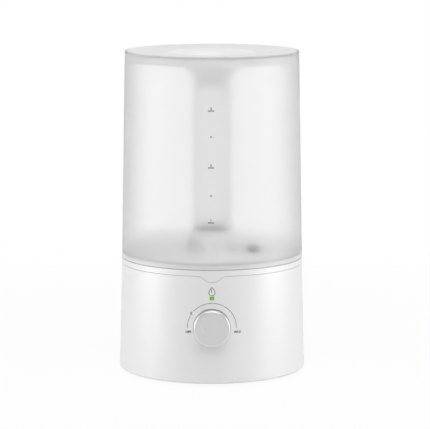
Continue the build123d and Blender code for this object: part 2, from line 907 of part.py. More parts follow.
def make_valve_spring():
    """Round-wire spring, one unbroken tube along pairs of tangent arcs, a quarter turn each pair."""
    steps = spring_turns * spring_steps_per_turn
    edges = []
    for step in range(steps):
        start, leaving = spring_point(step / spring_steps_per_turn)
        end, arriving = spring_point((step + 1) / spring_steps_per_turn)
        chord = end - start
        both = leaving + arriving
        # The two arcs meet where their equal tangent lengths meet.
        a = both.dot(both) - 4
        b = -2 * chord.dot(both)
        c = chord.dot(chord)
        reach = 2 * c / (-b + sqrt(b * b - 4 * a * c))
        middle = (start + leaving * reach + end - arriving * reach) / 2
        edges.append(TangentArc(start, middle, tangent=leaving))
        edges.append(TangentArc(middle, end, tangent=edges[-1] % 1))
    path = Wire(edges)
    section = Plane(path @ 0, z_dir=path % 0) * Circle(spring_wire / 2)
    return sweep(section, path=path)


def make_lid():
    """Lid: flat edge, shallow dish, smooth-lipped bowl, outlet throat and the plug ring underneath."""
    rim = outer_radius(overall_height) - tank_rim_wall - lid_gap
    step_outer = rim - step_inset
    step_inner = step_outer - step_slope
    step_height = overall_height - step_depth
    mouth = bowl_mouth_diameter / 2
    mouth_height = overall_height - dish_depth
    dish = atan2(step_height - mouth_height, step_inner - mouth)
    centre_r = mouth + lip_radius * sin(dish)
    centre_z = mouth_height - lip_radius * cos(dish)
    floor_edge = throat_diameter / 2 + bowl_floor_rim
    # The wall of the bowl leaves the lip as the tangent that meets the floor's edge.
    away = centre_r - floor_edge
    above = centre_z - bowl_floor
    fall = atan2(above, away) + asin(lip_radius / sqrt(away**2 + above**2))
    half = (dish + fall) / 2
    under = lip_radius - lid_thickness

    def on_lip(radius, angle):
        return centre_r - radius * sin(angle), centre_z + radius * cos(angle)

    top_end = on_lip(lip_radius, fall)
    under_end = on_lip(under, fall)
    under_edge = under_end[0] - (under_end[1] - bowl_under) / tan(fall)
    under_start = on_lip(under, dish)
    plug_outer = outer_radius(ledge_top) - tank_wall_thickness - plug_gap
    plug_inner = plug_outer - plug_wall
    plug_bottom = flange_bottom - plug_depth
    plug_meet = under_start[1] + (plug_inner - under_start[0]) * tan(dish)
    edge_low = overall_height - lid_edge_round
    turn_r = rim - lid_edge_round * (1 - sin(radians(45)))
    turn_z = overall_height - lid_edge_round * (1 - sin(radians(45)))

    profile = Polyline((rim, flange_bottom), (rim, edge_low))
    profile += ThreePointArc((rim, edge_low), (turn_r, turn_z), (rim - lid_edge_round, overall_height))
    profile += Polyline(
        (rim - lid_edge_round, overall_height),
        (step_outer, overall_height),
        (step_inner, step_height),
        (mouth, mouth_height),
    )
    profile += ThreePointArc((mouth, mouth_height), on_lip(lip_radius, half), top_end)
    profile += Polyline(
        top_end,
        (floor_edge, bowl_floor),
        (throat_diameter / 2, bowl_floor),
        (throat_diameter / 2, spigot_bottom),
        (spigot_outer / 2, spigot_bottom),
        (spigot_outer / 2, bowl_under),
        (under_edge, bowl_under),
        under_end,
    )
    profile += ThreePointArc(under_end, on_lip(under, half), under_start)
    profile += Polyline(
        under_start,
        (plug_inner, plug_meet),
        (plug_inner, plug_bottom),
        (plug_outer, plug_bottom),
        (plug_outer, flange_bottom),
        (rim, flange_bottom),
    )
    return turned(profile)


def make_splash_guard():
    """Guard in the throat that catches drops: ring, small plate and three arms."""
    outside = throat_diameter - 2 * seat_gap
    inside = outside - 2 * guard_wall
    plate_top = spigot_bottom + guard_plate
    guard = tube(outside, inside, spigot_bottom, spigot_bottom + guard_height)
    guard += rod(guard_disc_diameter, spigot_bottom, plate_top)
    reach = inside / 2 + guard_wall / 2
    for angle in guard_arm_angles:
        arm = block(reach, guard_arm_width, spigot_bottom, plate_top, reach / 2)
        guard += Rot(0, 0, angle) * arm
    return guard


def make_knob_body():
    """Knob: round skirt with a soft front edge, a seat for its cap and a hub on the shaft."""
    knob = rod(knob_diameter, knob_back, knob_front)
    front_edge = knob.edges().group_by(Axis.Z)[-1]
    knob = fillet(front_edge, knob_edge_round)
    knob -= rod(knob_diameter - 2 * knob_skirt, knob_back - overshoot, knob_inside)
    knob += rod(hub_diameter, hub_back, knob_inside + shaft_in_face)
    bore = rod(shaft_diameter + 2 * seat_gap, hub_back - overshoot, shaft_front + seat_gap)
    knob -= bore & shaft_side(shaft_diameter / 2 - shaft_flat + seat_gap)
    knob -= rod(cap_diameter + 2 * seat_gap, knob_front - cap_thickness, knob_front + overshoot)
    return facing_front(knob, knob_height)


def shaft_side(reach):
    """Half space that leaves a flat on the shaft at a distance from its axis."""
    size = 2 * shaft_front
    return Pos(reach - size / 2, 0, shaft_front) * Box(size, size, size)


def make_knob_cap():
    """Face of the knob with the dimple that points to the scale."""
    cap = rod(cap_diameter, knob_front - cap_thickness, knob_front)
    x, y = polar(dimple_circle_radius, dimple_angle)
    ball_radius = ((dimple_diameter / 2) ** 2 + dimple_depth**2) / (2 * dimple_depth)
    cap -= Pos(x, y, knob_front - dimple_depth + ball_radius) * Sphere(ball_radius)
    return facing_front(cap, knob_height)


def make_pot_shaft():
    """Shaft of the potentiometer, round in its bushing and with a flat in the knob's hub."""
    low = control_board_front + pot_back_wall + running_gap
    shaft = rod(shaft_diameter, low, hub_back)
    flat = rod(shaft_diameter, hub_back, shaft_front)
    shaft += flat & shaft_side(shaft_diameter / 2 - shaft_flat)
    return facing_front(shaft, knob_height)


def make_pot_body():
    """Potentiometer on the control board, with a bushing for its shaft."""
    body = block(pot_width, pot_length, control_board_front, pot_front)
    body += rod(bushing_diameter, pot_front, pot_front + bushing_length)
    bore = shaft_diameter + 2 * running_gap
    low = control_board_front + pot_back_wall
    body -= rod(bore, low, pot_front + bushing_length + overshoot)
    return facing_front(body, knob_height)


def make_control_board():
    """Upright board behind the knob and the lamp."""
    top = lamp_height - knob_height + control_board_margin
    bottom = -panel_boss_offset_z - control_board_margin
    middle = (top + bottom) / 2
    board = block(control_board_width, top - bottom, control_board_back, control_board_front, 0, middle)
    for x, y in panel_boss_places():
        hole = screw_diameter + 2 * seat_gap
        board -= rod(hole, control_board_back - overshoot, control_board_front + overshoot, x, y)
    return facing_front(board, knob_height)


def make_panel_screws():
    """Screws that hold the control board on its bosses."""
    screws = []
    for x, y in panel_boss_places():
        screw = screw_up(x, y, control_board_back, panel_screw_length)
        screws.append(facing_front(screw, knob_height))
    return Compound(children=screws)


def make_lamp():
    """Round-headed lamp on the control board."""
    shoulder = control_board_front + lamp_length - lamp_diameter / 2
    lamp = rod(lamp_diameter, control_board_front, shoulder)
    return facing_front(lamp + Pos(0, 0, shoulder) * Sphere(lamp_diameter / 2), lamp_height)


def make_light_pipe():
    """Clear bar from the lamp to its window, flush with the shell."""
    width = window_width - 2 * window_gap
    height = window_height - 2 * window_gap
    low = control_board_front + lamp_length + rest_gap
    bar = facing_front(block(width, height, low, outside), lamp_height)
    return bar & frustum(foot_height, seam_height)


def make_dc_jack():
    """Inlet socket: flange, barrel, a bore for the plug and a smaller root for the centre pin."""
    jack = rod(jack_flange_diameter, jack_seat, jack_face)
    rim_edge = jack.edges().group_by(Axis.Z)[-1]
    jack = fillet(rim_edge, 0.3 * jack_flange_thickness)
    jack += rod(jack_barrel_diameter, jack_back, jack_seat)
    jack -= rod(jack_bore_diameter, jack_bore_end, jack_face + overshoot)
    root = jack_bore_end - jack_pin_root
    jack -= rod(jack_pin_root_diameter + 2 * seat_gap, root, jack_bore_end + overshoot)
    return facing_back(jack, jack_height)


def make_jack_pin():
    """Centre pin of the inlet socket on its thicker root."""
    pin = rod(jack_pin_root_diameter, jack_bore_end - jack_pin_root, jack_bore_end)
    pin += rod(jack_pin_diameter, jack_bore_end, jack_face - jack_pin_recess)
    return facing_back(pin, jack_height)


def make_jack_nut():
    """Six-sided nut that holds the socket from inside."""
    outline = RegularPolygon(jack_nut_flats / 2, 6, major_radius=False)
    nut = Pos(0, 0, jack_panel_inside - jack_nut_thickness) * extrude(outline, jack_nut_thickness)
    bore = rod(
        jack_barrel_diameter + 2 * seat_gap,
        jack_panel_inside - jack_nut_thickness - overshoot,
        jack_panel_inside + overshoot,
    )
    return facing_back(nut - bore, jack_height)


def make_fan_frame():
    """Square frame of the fan with its struts, bearing tube and screw holes."""
    frame = rounded_block(fan_size, fan_size, fan_corner_round, fan_bottom, fan_top, tower_x)
    frame -= rod(fan_bore, fan_bottom - overshoot, fan_top + overshoot, tower_x)
    plate_top = fan_bottom + fan_plate
    for index in range(fan_strut_count):
        reach = fan_bore / 2 + fan_plate / 2
        strut = block(reach, fan_strut_width, fan_bottom, plate_top, reach / 2)
        turn = 360 * index / fan_strut_count
        frame += Pos(tower_x, 0, 0) * Rot(0, 0, turn) * strut
    frame += rod(fan_hub_diameter, fan_bottom, plate_top, tower_x)
    bearing = fan_shaft_diameter + 2 * fan_bearing_wall
    frame += rod(bearing, fan_bottom, plate_top + fan_end_gap + stator_height, tower_x)
    bore = fan_shaft_diameter + 2 * running_gap
    frame -= rod(bore, fan_bottom + fan_plate / 2, fan_top + overshoot, tower_x)
    for x, y in fan_corners():
        hole = screw_diameter + 2 * seat_gap
        frame -= rod(hole, fan_bottom - overshoot, fan_top + overshoot, x, y)
        head_room = screw_head_diameter + 2 * hub_gap
        frame -= rod(head_room, plate_top, fan_top + overshoot, x, y)
    return frame


def make_fan_stator():
    """Winding of the fan motor on the bearing tube."""
    low = fan_bottom + fan_plate + fan_end_gap
    bearing = fan_shaft_diameter + 2 * fan_bearing_wall + 2 * seat_gap
    return tube(stator_diameter, bearing, low, low + stator_height, tower_x)


def make_fan_rotor():
    """Rotor: cup over the winding, pitched blades and the shaft in the bearing."""
    low = fan_bottom + fan_plate + fan_end_gap
    high = fan_top - fan_end_gap
    hub = rod(fan_hub_diameter, low, high)
    blade_tip = fan_bore / 2 - fan_blade_gap
    middle = (low + high) / 2
    height = high - low
    blades = Part()
    for index in range(fan_blade_count):
        blade = Box(2 * blade_tip, fan_blade_thickness, 2 * height, align=(Align.MIN, Align.CENTER, Align.CENTER))
        blade = Pos(0, 0, middle) * Rot(fan_blade_pitch, 0, 0) * blade
        blades += Rot(0, 0, 360 * index / fan_blade_count) * blade
    rotor = hub + (blades & rod(2 * blade_tip, low, high))
    rotor -= rod(fan_hub_diameter - 2 * fan_hub_wall, low - overshoot, high - fan_hub_wall)
    shaft_low = fan_bottom + fan_plate / 2 + running_gap
    rotor += rod(fan_shaft_diameter, shaft_low, high - fan_hub_wall / 2)
    return Pos(tower_x, 0, 0) * rotor


def make_fan_screws():
    """Screws that hold the fan on its posts."""
    seat = fan_bottom + fan_plate
    return Compound(children=[screw_down(x, y, seat, fan_screw_length) for x, y in fan_corners()])


def make_air_duct():
    """Duct that narrows from the fan to the spigot under the air tower."""
    spigot_low = basin_bottom - spigot_length
    inside_x = tower_width + 2 * duct_gap
    inside_y = tower_length + 2 * duct_gap
    corner = tower_round + duct_gap
    top = basin_bottom - rest_gap

    def funnel(grow):
        lower = RectangleRounded(fan_bore + 2 * grow, fan_bore + 2 * grow, corner + grow)
        upper = RectangleRounded(inside_x + 2 * grow, inside_y + 2 * grow, corner + grow)
        cone = loft([Pos(tower_x, 0, fan_top) * lower, Pos(tower_x, 0, spigot_low) * upper])
        sleeve = rounded_block(
            inside_x + 2 * grow,
            inside_y + 2 * grow,
            corner + grow,
            spigot_low,
            top,
            tower_x,
        )
        return cone + sleeve

    return funnel(duct_wall) - funnel(0.0)


def make_driver_board():
    """Driver board on its posts."""
    board = block(
        driver_board_width,
        driver_board_length,
        board_bottom,
        board_top,
        driver_board_x,
        driver_board_y,
    )
    for x, y in driver_corners():
        hole = screw_diameter + 2 * seat_gap
        board -= rod(hole, board_bottom - overshoot, board_top + overshoot, x, y)
    return board


def make_board_screws():
    """Screws that hold the driver board on its posts."""
    return Compound(children=[screw_down(x, y, board_top, driver_screw_length) for x, y in driver_corners()])


def make_heat_sink():
    """Finned heat sink that stands on the driver board."""
    x, y = sink_back
    top = board_top + sink_height
    sink = block(sink_plate, sink_length, board_top, top, x + sink_plate / 2, y - sink_length / 2)
    pitch = (sink_length - sink_fin_thickness) / (sink_fins - 1)
    for index in range(sink_fins):
        fin_y = y - sink_fin_thickness / 2 - index * pitch
        sink += block(sink_depth, sink_fin_thickness, board_top, top, x + sink_depth / 2, fin_y)
    return sink


def make_power_transistor():
    """Power transistor against the plate of the heat sink."""
    x, y = sink_back
    top = board_top + transistor_height
    middle = y - sink_length / 2
    return block(transistor_depth, transistor_width, board_top, top, x - transistor_depth / 2, middle)


def make_drive_coil():
    """Coil of the driver circuit."""
    x = driver_board_x + coil_place[0]
    y = driver_board_y + coil_place[1]
    return rod(coil_diameter, board_top, board_top + coil_height, x, y)


def make_capacitors():
    """Two upright capacitors."""
    top = board_top + capacitor_height
    return Compound(children=[rod(capacitor_diameter, board_top, top, x, y) for x, y in capacitor_places])


def make_board_connectors():
    """Plugs of the leads: five on the driver board and one on the back of the control board."""
    plugs = []
    for x, y in (fan_plug, disc_plug, panel_plug, reed_plug, power_plug):
        plugs.append(block(plug_width, plug_length, board_top, board_top + plug_height, x, y))
    low = control_board_back - plug_height
    upright = block(plug_width, plug_length, low, control_board_back, 0, -panel_plug_drop)
    plugs.append(facing_front(upright, knob_height))
    return Compound(children=plugs)


def lead(points):
    """Round lead along straight runs that are joined by the largest arcs their lengths allow."""
    corners = [Vector(*point) for point in points]
    radii = []
    for before, corner, after in zip(corners, corners[1:], corners[2:]):
        arriving = corner - before
        leaving = after - corner
        half_turn = radians(arriving.get_angle(leaving)) / 2
        shorter = min(arriving.length, leaving.length)
        radii.append(lead_bend_share * shorter / tan(half_turn))
    path = FilletPolyline(*corners, radius=radii)
    section = Plane(path @ 0, z_dir=path % 0) * Circle(lead_diameter / 2)
    return sweep(section, path=path)


def make_fan_lead():
    """Lead from the fan's side to the driver board."""
    x, y = fan_plug
    z = board_top + plug_height
    side = tower_x + fan_size / 2
    level = fan_bottom + fan_thickness / 2
    bend_x, bend_y, bend_z = fan_lead_bend
    return lead(
        [
            (side, fan_lead_y, level),
            (side + lead_run, fan_lead_y, level),
            (bend_x, bend_y, level + bend_z),
            (x, y, z + lead_rise),
            (x, y, z),
        ]
    )


def make_transducer_lead():
    """Lead from the mist disc to the driver board."""
    x, y = disc_plug
    z = board_top + plug_height
    bend_x, bend_y, bend_z = disc_lead_bend
    return lead(
        [
            (disc_lead_x, 0, disc_bottom),
            (disc_lead_x, 0, disc_bottom - lead_run),
            (bend_x, bend_y, z + bend_z),
            (x, y, z + lead_rise),
            (x, y, z),
        ]
    )


def make_panel_lead():
    """Lead from the control board to the driver board."""
    x, y = panel_plug
    z = board_top + plug_height
    start = plug_height - control_board_back
    level = knob_height - panel_plug_drop
    bend_x, bend_y, bend_z = panel_lead_bend
    return lead(
        [
            (0, start, level),
            (0, start + lead_run, level),
            (bend_x, bend_y, z + bend_z),
            (x, y, z + lead_rise),
            (x, y, z),
        ]
    )


def make_power_lead():
    """Lead from the inlet socket to the driver board."""
    x, y = power_plug
    z = board_top + plug_height
    bend_x, bend_y, bend_z = power_lead_bend
    return lead(
        [
            (0, jack_back, jack_height),
            (0, jack_back - lead_run, jack_height),
            (bend_x, bend_y, z + bend_z),
            (x, y, z + lead_rise),
            (x, y, z),
        ]
    )


def make_reed_lead():
    """Lead from the reed switch to the driver board."""
    x, y = reed_plug
    z = board_top + plug_height
    low = basin_bottom - reed_height
    bend_x, bend_y, bend_z = reed_lead_bend
    return lead(
        [
            (reed_x, 0, low),
            (reed_x, 0, low - lead_run),
            (x + bend_x, bend_y, z + bend_z),
            (x, y, z + lead_rise),
            (x, y, z),
        ]
    )


PIECES = {
    "base_shell": make_base_shell,
    "bottom_cover": make_bottom_cover,
    "rubber_feet": make_rubber_feet,
    "bottom_screws": make_bottom_screws,
    "trough": make_trough,
    "trough_screws": make_trough_screws,
    "transducer_disc": make_transducer_disc,
    "transducer_seal": make_transducer_seal,
    "transducer_retainer": make_transducer_retainer,
    "transducer_screws": make_transducer_screws,
    "reed_switch": make_reed_switch,
    "float_body": make_float_body,
    "float_magnet": make_float_magnet,
    "float_pad": make_float_pad,
    "tank_wall": make_tank_wall,
    "tank_floor": make_tank_floor,
    "mist_tube": make_mist_tube,
    "valve_cage": make_valve_cage,
    "valve_plunger": make_valve_plunger,
    "valve_seal": make_valve_seal,
    "valve_spring": make_valve_spring,
    "lid": make_lid,
    "splash_guard": make_splash_guard,
    "knob_body": make_knob_body,
    "knob_cap": make_knob_cap,
    "pot_shaft": make_pot_shaft,
    "pot_body": make_pot_body,
    "control_board": make_control_board,
    "panel_screws": make_panel_screws,
    "lamp": make_lamp,
    "light_pipe": make_light_pipe,
    "dc_jack": make_dc_jack,
    "jack_pin": make_jack_pin,
    "jack_nut": make_jack_nut,
    "fan_frame": make_fan_frame,
    "fan_stator": make_fan_stator,
    "fan_rotor": make_fan_rotor,
    "fan_screws": make_fan_screws,
    "air_duct": make_air_duct,
    "driver_board": make_driver_board,
    "board_screws": make_board_screws,
    "heat_sink": make_heat_sink,
    "power_transistor": make_power_transistor,
    "drive_coil": make_drive_coil,
    "capacitors": make_capacitors,
    "board_connectors": make_board_connectors,
    "fan_lead": make_fan_lead,
    "transducer_lead": make_transducer_lead,
    "panel_lead": make_panel_lead,
    "power_lead": make_power_lead,
    "reed_lead": make_reed_lead,
}

os.makedirs("parts", exist_ok=True)
for name, make in PIECES.items():
    export_step(make(), f"parts/{name}.step")
print("float travel", round(float_travel, 3))
print("least gap between the spring's turns", round(spring_gap(), 3))
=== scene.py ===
"""Looks of a cool mist humidifier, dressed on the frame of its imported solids.

Metres, +Z up, front at -Y: the same frame as the solids.
"""

import logging
import math
from dataclasses import dataclass
from enum import Enum
from functools import cache
from typing import Any, Iterable, Mapping, Optional, Sequence, Union

import bmesh
import bpy
from bpy.types import ID, Material, Mesh, Node, NodeSocket, NodeTree, Object
from mathutils import Matrix, Vector


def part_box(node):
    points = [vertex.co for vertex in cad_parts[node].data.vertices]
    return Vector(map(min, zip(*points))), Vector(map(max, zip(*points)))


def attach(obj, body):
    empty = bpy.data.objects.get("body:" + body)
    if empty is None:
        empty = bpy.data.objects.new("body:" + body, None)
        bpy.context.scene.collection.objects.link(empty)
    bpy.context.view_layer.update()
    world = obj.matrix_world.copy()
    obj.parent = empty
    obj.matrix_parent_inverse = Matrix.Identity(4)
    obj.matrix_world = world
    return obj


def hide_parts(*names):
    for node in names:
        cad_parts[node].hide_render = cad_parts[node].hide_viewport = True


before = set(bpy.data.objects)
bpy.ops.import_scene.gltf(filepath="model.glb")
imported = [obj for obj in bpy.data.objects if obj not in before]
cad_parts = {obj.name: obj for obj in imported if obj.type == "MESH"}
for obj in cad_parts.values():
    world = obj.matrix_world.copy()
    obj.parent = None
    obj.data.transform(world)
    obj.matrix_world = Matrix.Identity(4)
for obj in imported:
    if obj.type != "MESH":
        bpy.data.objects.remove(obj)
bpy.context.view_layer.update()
LOG = logging.getLogger("humidifier")

Colour = tuple[float, float, float]
Point = tuple[float, float]
Place = tuple[float, float, float]
Names = tuple[str, ...]
Settings = Mapping[str, Any]
Sizes = Mapping[str, float]
Sockets = Mapping[Union[str, int], Any]

ORIGIN = (0.0, 0.0, 0.0)
EVEN = (1.0, 1.0, 1.0)
FULL_WHITE = (1.0, 1.0, 1.0, 1.0)


class Canvas:
    """A node tree and the one way in which nodes are added to it."""

    def __init__(self, tree: NodeTree) -> None:
        """Take a node tree and empty it."""
        tree.nodes.clear()
        self.tree = tree

    def node(self, kind: str, settings: Optional[Settings] = None, sockets: Optional[Sockets] = None) -> Node:
        """Add a node.

        Args:
            kind: Blender's name of the node's type.
            settings: Properties of the node, which are set first.
            sockets: Values or links of the node's inputs, by name or number.

        Returns:
            The new node.
        """
        made = self.tree.nodes.new(kind)
        for key, value in (settings or {}).items():
            setattr(made, key, value)
        for key, value in (sockets or {}).items():
            source = value.socket if isinstance(value, Signal) else value
            if isinstance(source, NodeSocket):
                self.tree.links.new(source, made.inputs[key])
            else:
                made.inputs[key].default_value = source
        return made

    def split(self, vector: NodeSocket) -> "Signals":
        """The three parts of a vector as signals."""
        parts = self.node("ShaderNodeSeparateXYZ", None, {0: vector}).outputs
        return Signal(self, parts[0]), Signal(self, parts[1]), Signal(self, parts[2])


Signals = tuple["Signal", "Signal", "Signal"]


class Signal:
    """A socket that carries a number, so that Python's operators can work on it."""

    SMOOTH: Settings = {"interpolation_type": "SMOOTHSTEP"}

    def __init__(self, canvas: Canvas, socket: NodeSocket) -> None:
        """Wrap one output socket of a node on a canvas."""
        self.canvas = canvas
        self.socket = socket

    def math(self, operation: str, *operands: "Number") -> "Signal":
        """Add a Math node with its operands in order."""
        made = self.canvas.node("ShaderNodeMath", {"operation": operation}, dict(enumerate(operands)))
        return Signal(self.canvas, made.outputs[0])

    def __add__(self, other: "Number") -> "Signal":
        """Sum."""
        return self.math("ADD", self, other)

    def __radd__(self, other: "Number") -> "Signal":
        """Sum with a number on the left."""
        return self.math("ADD", other, self)

    def __sub__(self, other: "Number") -> "Signal":
        """Difference."""
        return self.math("SUBTRACT", self, other)

    def __rsub__(self, other: "Number") -> "Signal":
        """Difference from a number on the left."""
        return self.math("SUBTRACT", other, self)

    def __mul__(self, other: "Number") -> "Signal":
        """Product."""
        return self.math("MULTIPLY", self, other)

    def __rmul__(self, other: "Number") -> "Signal":
        """Product with a number on the left."""
        return self.math("MULTIPLY", other, self)

    def __truediv__(self, other: "Number") -> "Signal":
        """Quotient."""
        return self.math("DIVIDE", self, other)

    def __rtruediv__(self, other: "Number") -> "Signal":
        """Quotient of a number on the left."""
        return self.math("DIVIDE", other, self)

    def most(self, other: "Number") -> "Signal":
        """The greater of two."""
        return self.math("MAXIMUM", self, other)

    def sine(self) -> "Signal":
        """Sine of an angle in radians."""
        return self.math("SINE", self)

    def cosine(self) -> "Signal":
        """Cosine of an angle in radians."""
        return self.math("COSINE", self)

    def root(self) -> "Signal":
        """Square root."""
        return self.math("SQRT", self)

    def floor(self) -> "Signal":
        """Next whole number below."""
        return self.math("FLOOR", self)

    def swing(self, reach: float) -> "Signal":
        """Swing about nought as the signal runs from nought to one."""
        return (self - 0.5) * reach

    def eased(self, low: float, high: float) -> "Signal":
        """Rise smoothly from nought at one level to one at another."""
        sockets = {"Value": self, "From Min": low, "From Max": high}
        return Signal(self.canvas, self.canvas.node("ShaderNodeMapRange", self.SMOOTH, sockets).outputs[0])


Number = Union[Signal, float]


def grey(level: float) -> Colour:
    """An even grey."""
    return (level, level, level)


def tinted(colour: Colour, share: float) -> Colour:
    """The same colour, lighter or darker by a share."""
    return tuple(min(1.0, channel * share) for channel in colour)


class Shader(Canvas):
    """Nodes of one material, with the patterns that the finishes share."""

    CELLS: Settings = {"feature": "F1", "distance": "EUCLIDEAN"}
    NOISE: Settings = {"noise_dimensions": "3D"}

    def coordinates(self, stretch: Sequence[float], centre: Sequence[float] = ORIGIN) -> NodeSocket:
        """Object coordinates.

        Args:
            stretch: Factor along each axis.
            centre: Point that becomes the origin of the pattern.

        Returns:
            The vector socket.
        """
        place = self.node("ShaderNodeTexCoord").outputs["Object"]
        shift = [-middle * factor for middle, factor in zip(centre, stretch)]
        mapped = self.node("ShaderNodeMapping", None, {"Vector": place, "Location": shift, "Scale": stretch})
        return mapped.outputs["Vector"]

    def axes(self, centre: Sequence[float] = ORIGIN) -> Signals:
        """The three object coordinates as signals, from a centre."""
        return self.split(self.coordinates(EVEN, centre))

    def noise(self, scale: float, detail: float = 2.0, stretch: Sequence[float] = EVEN) -> Signal:
        """Soft noise from nought to one, by its features in a metre, its finer layers and its stretch."""
        sockets = {"Vector": self.coordinates(stretch), "Scale": scale, "Detail": detail}
        return Signal(self, self.node("ShaderNodeTexNoise", self.NOISE, sockets).outputs[0])

    def cells(self, scale: float, stretch: Sequence[float] = EVEN) -> Signal:
        """Distance to the nearest of scattered points, by the cells in a metre and their stretch."""
        sockets = {"Vector": self.coordinates(stretch), "Scale": scale}
        return Signal(self, self.node("ShaderNodeTexVoronoi", self.CELLS, sockets).outputs["Distance"])

    def blend(self, factor: Signal, first: Any, second: Any) -> NodeSocket:
        """Mix two colours.

        Args:
            factor: Share of the second colour.
            first: Colour or colour socket.
            second: Colour or colour socket.

        Returns:
            The colour socket.
        """
        sides = [(*side, 1.0) if isinstance(side, tuple) else side for side in (first, second)]
        made = self.node("ShaderNodeMix", {"data_type": "RGBA"}, {0: factor, 6: sides[0], 7: sides[1]})
        return made.outputs[2]

    def bump(self, height: Signal, strength: float, depth: float) -> NodeSocket:
        """Normal of a relief of some depth in metres, of which a share shows."""
        made = self.node("ShaderNodeBump", None, {"Strength": strength, "Distance": depth, "Height": height})
        return made.outputs["Normal"]

    def surface(self, sockets: Sockets) -> None:
        """Add the surface shader, with its inputs, and the output."""
        shader = self.node("ShaderNodeBsdfPrincipled", None, sockets)
        self.node("ShaderNodeOutputMaterial", None, {"Surface": shader.outputs[0]})

    def mix(self, share: Signal, first: Node, second: Node) -> None:
        """Mix two shaders and add the output.

        Args:
            share: How much of the second shader shows.
            first: One shader.
            second: The other shader.
        """
        sockets = {0: share, 1: first.outputs[0], 2: second.outputs[0]}
        mixed = self.node("ShaderNodeMixShader", None, sockets)
        self.node("ShaderNodeOutputMaterial", None, {"Surface": mixed.outputs[0]})


class Grain(Enum):
    """Moulded texture: grains in a metre and the share of their relief that shows."""

    FINE = (2400.0, 0.05)
    SPARK = (1500.0, 0.12)
    SMOOTH = (700.0, 0.015)


class Lay(Enum):
    """How a metal surface was worked: the stretch of its marks along each axis."""

    PLATED = (900.0, 900.0, 900.0)
    DRAWN = (4000.0, 4000.0, 900.0)
    EXTRUDED = (2600.0, 2600.0, 60.0)


@dataclass(frozen=True)
class Finish:
    """A surface finish of one main colour that builds its material once."""

    name: str
    colour: Colour

    def paint(self, shader: Shader) -> None:
        """Add the nodes of the finish."""
        raise NotImplementedError(self.name)

    def shades(self, shader: Shader, share: Signal, low: float, high: float) -> NodeSocket:
        """The colour, from one tint to another as a signal runs from nought to one."""
        return shader.blend(share, tinted(self.colour, low), tinted(self.colour, high))

    def material(self) -> Material:
        """Build the material, or find it again.

        Returns:
            The material of this finish.
        """
        found = bpy.data.materials.get(self.name)
        if found is None:
            found = bpy.data.materials.new(self.name)
            found.use_nodes = True
            self.paint(Shader(found.node_tree))
        return found


@dataclass(frozen=True)
class Moulding(Finish):
    """Moulded plastic with a fine grain, faint clouds and long flow marks."""

    roughness: float = 0.4
    grain: Grain = Grain.FINE
    ior: float = 1.5
    coat: float = 0.0
    coat_roughness: float = 0.4
    coat_ior: float = 1.5

    def paint(self, shader: Shader) -> None:
        """Add the nodes of the finish."""
        scale, relief = self.grain.value
        clouds = shader.noise(scale=24.0, detail=3.0)
        flow = shader.noise(scale=30.0, stretch=(1.0, 1.0, 0.15))
        grain = shader.noise(scale, detail=1.0)
        shade = clouds * 0.5 + flow * 0.3 + grain * 0.2
        shader.surface({
            "Base Color": self.shades(shader, shade, 0.97, 1.03),
            "Roughness": self.roughness + clouds.swing(0.08) + grain.swing(0.06),
            "IOR": self.ior,
            "Coat Weight": self.coat,
            "Coat Roughness": self.coat_roughness,
            "Coat IOR": self.coat_ior,
            "Normal": shader.bump(grain, relief, depth=0.0001),
        })


@dataclass(frozen=True)
class Frosting(Finish):
    """Translucent plastic with a blasted face that scatters what lies behind it."""

    roughness: float
    transmission: float
    ior: float = 1.4

    def frost(self, shader: Shader) -> dict[str, Any]:
        """Inputs of the frosted surface.

        Args:
            shader: Material that takes the nodes.

        Returns:
            Values and links by the name of the input.
        """
        clouds = shader.noise(scale=16.0)
        flow = shader.noise(scale=26.0, stretch=(1.0, 1.0, 0.1))
        blast = shader.noise(scale=2600.0, detail=1.0)
        shade = clouds * 0.4 + flow * 0.4 + blast * 0.2
        return {
            "Base Color": self.shades(shader, shade, 0.985, 1.015),
            "Roughness": self.roughness + clouds.swing(0.05) + blast.swing(0.06),
            "IOR": self.ior,
            "Transmission Weight": self.transmission,
            "Normal": shader.bump(blast, strength=0.05, depth=0.0001),
        }

    def paint(self, shader: Shader) -> None:
        """Add the nodes of the finish."""
        shader.surface(self.frost(shader))

    @staticmethod
    def milked(shader: Shader, sockets: dict[str, Any], milk: Colour, share: Signal) -> None:
        """Mix the frosted surface with an opaque milky one.

        Args:
            shader: Material that takes the nodes.
            sockets: Inputs of the frosted surface.
            milk: Colour of the milky surface.
            share: How much of the milky surface shows.
        """
        clear = shader.node("ShaderNodeBsdfPrincipled", None, sockets)
        opaque = {"Base Color": (*milk, 1.0), "Roughness": sockets["Roughness"]}
        milky = shader.node("ShaderNodeBsdfPrincipled", None, opaque)
        shader.mix(share, clear, milky)


@dataclass(frozen=True)
class TubeFrosting(Frosting):
    """Frosted tube that is milky at its head, where the lid's spigot sits in it."""

    head: Point = (0.2715, 0.2735)
    milk: Colour = grey(0.95)

    def paint(self, shader: Shader) -> None:
        """Add the nodes of the finish."""
        height = shader.axes()[2]
        self.milked(shader, self.frost(shader), self.milk, height.eased(*self.head))


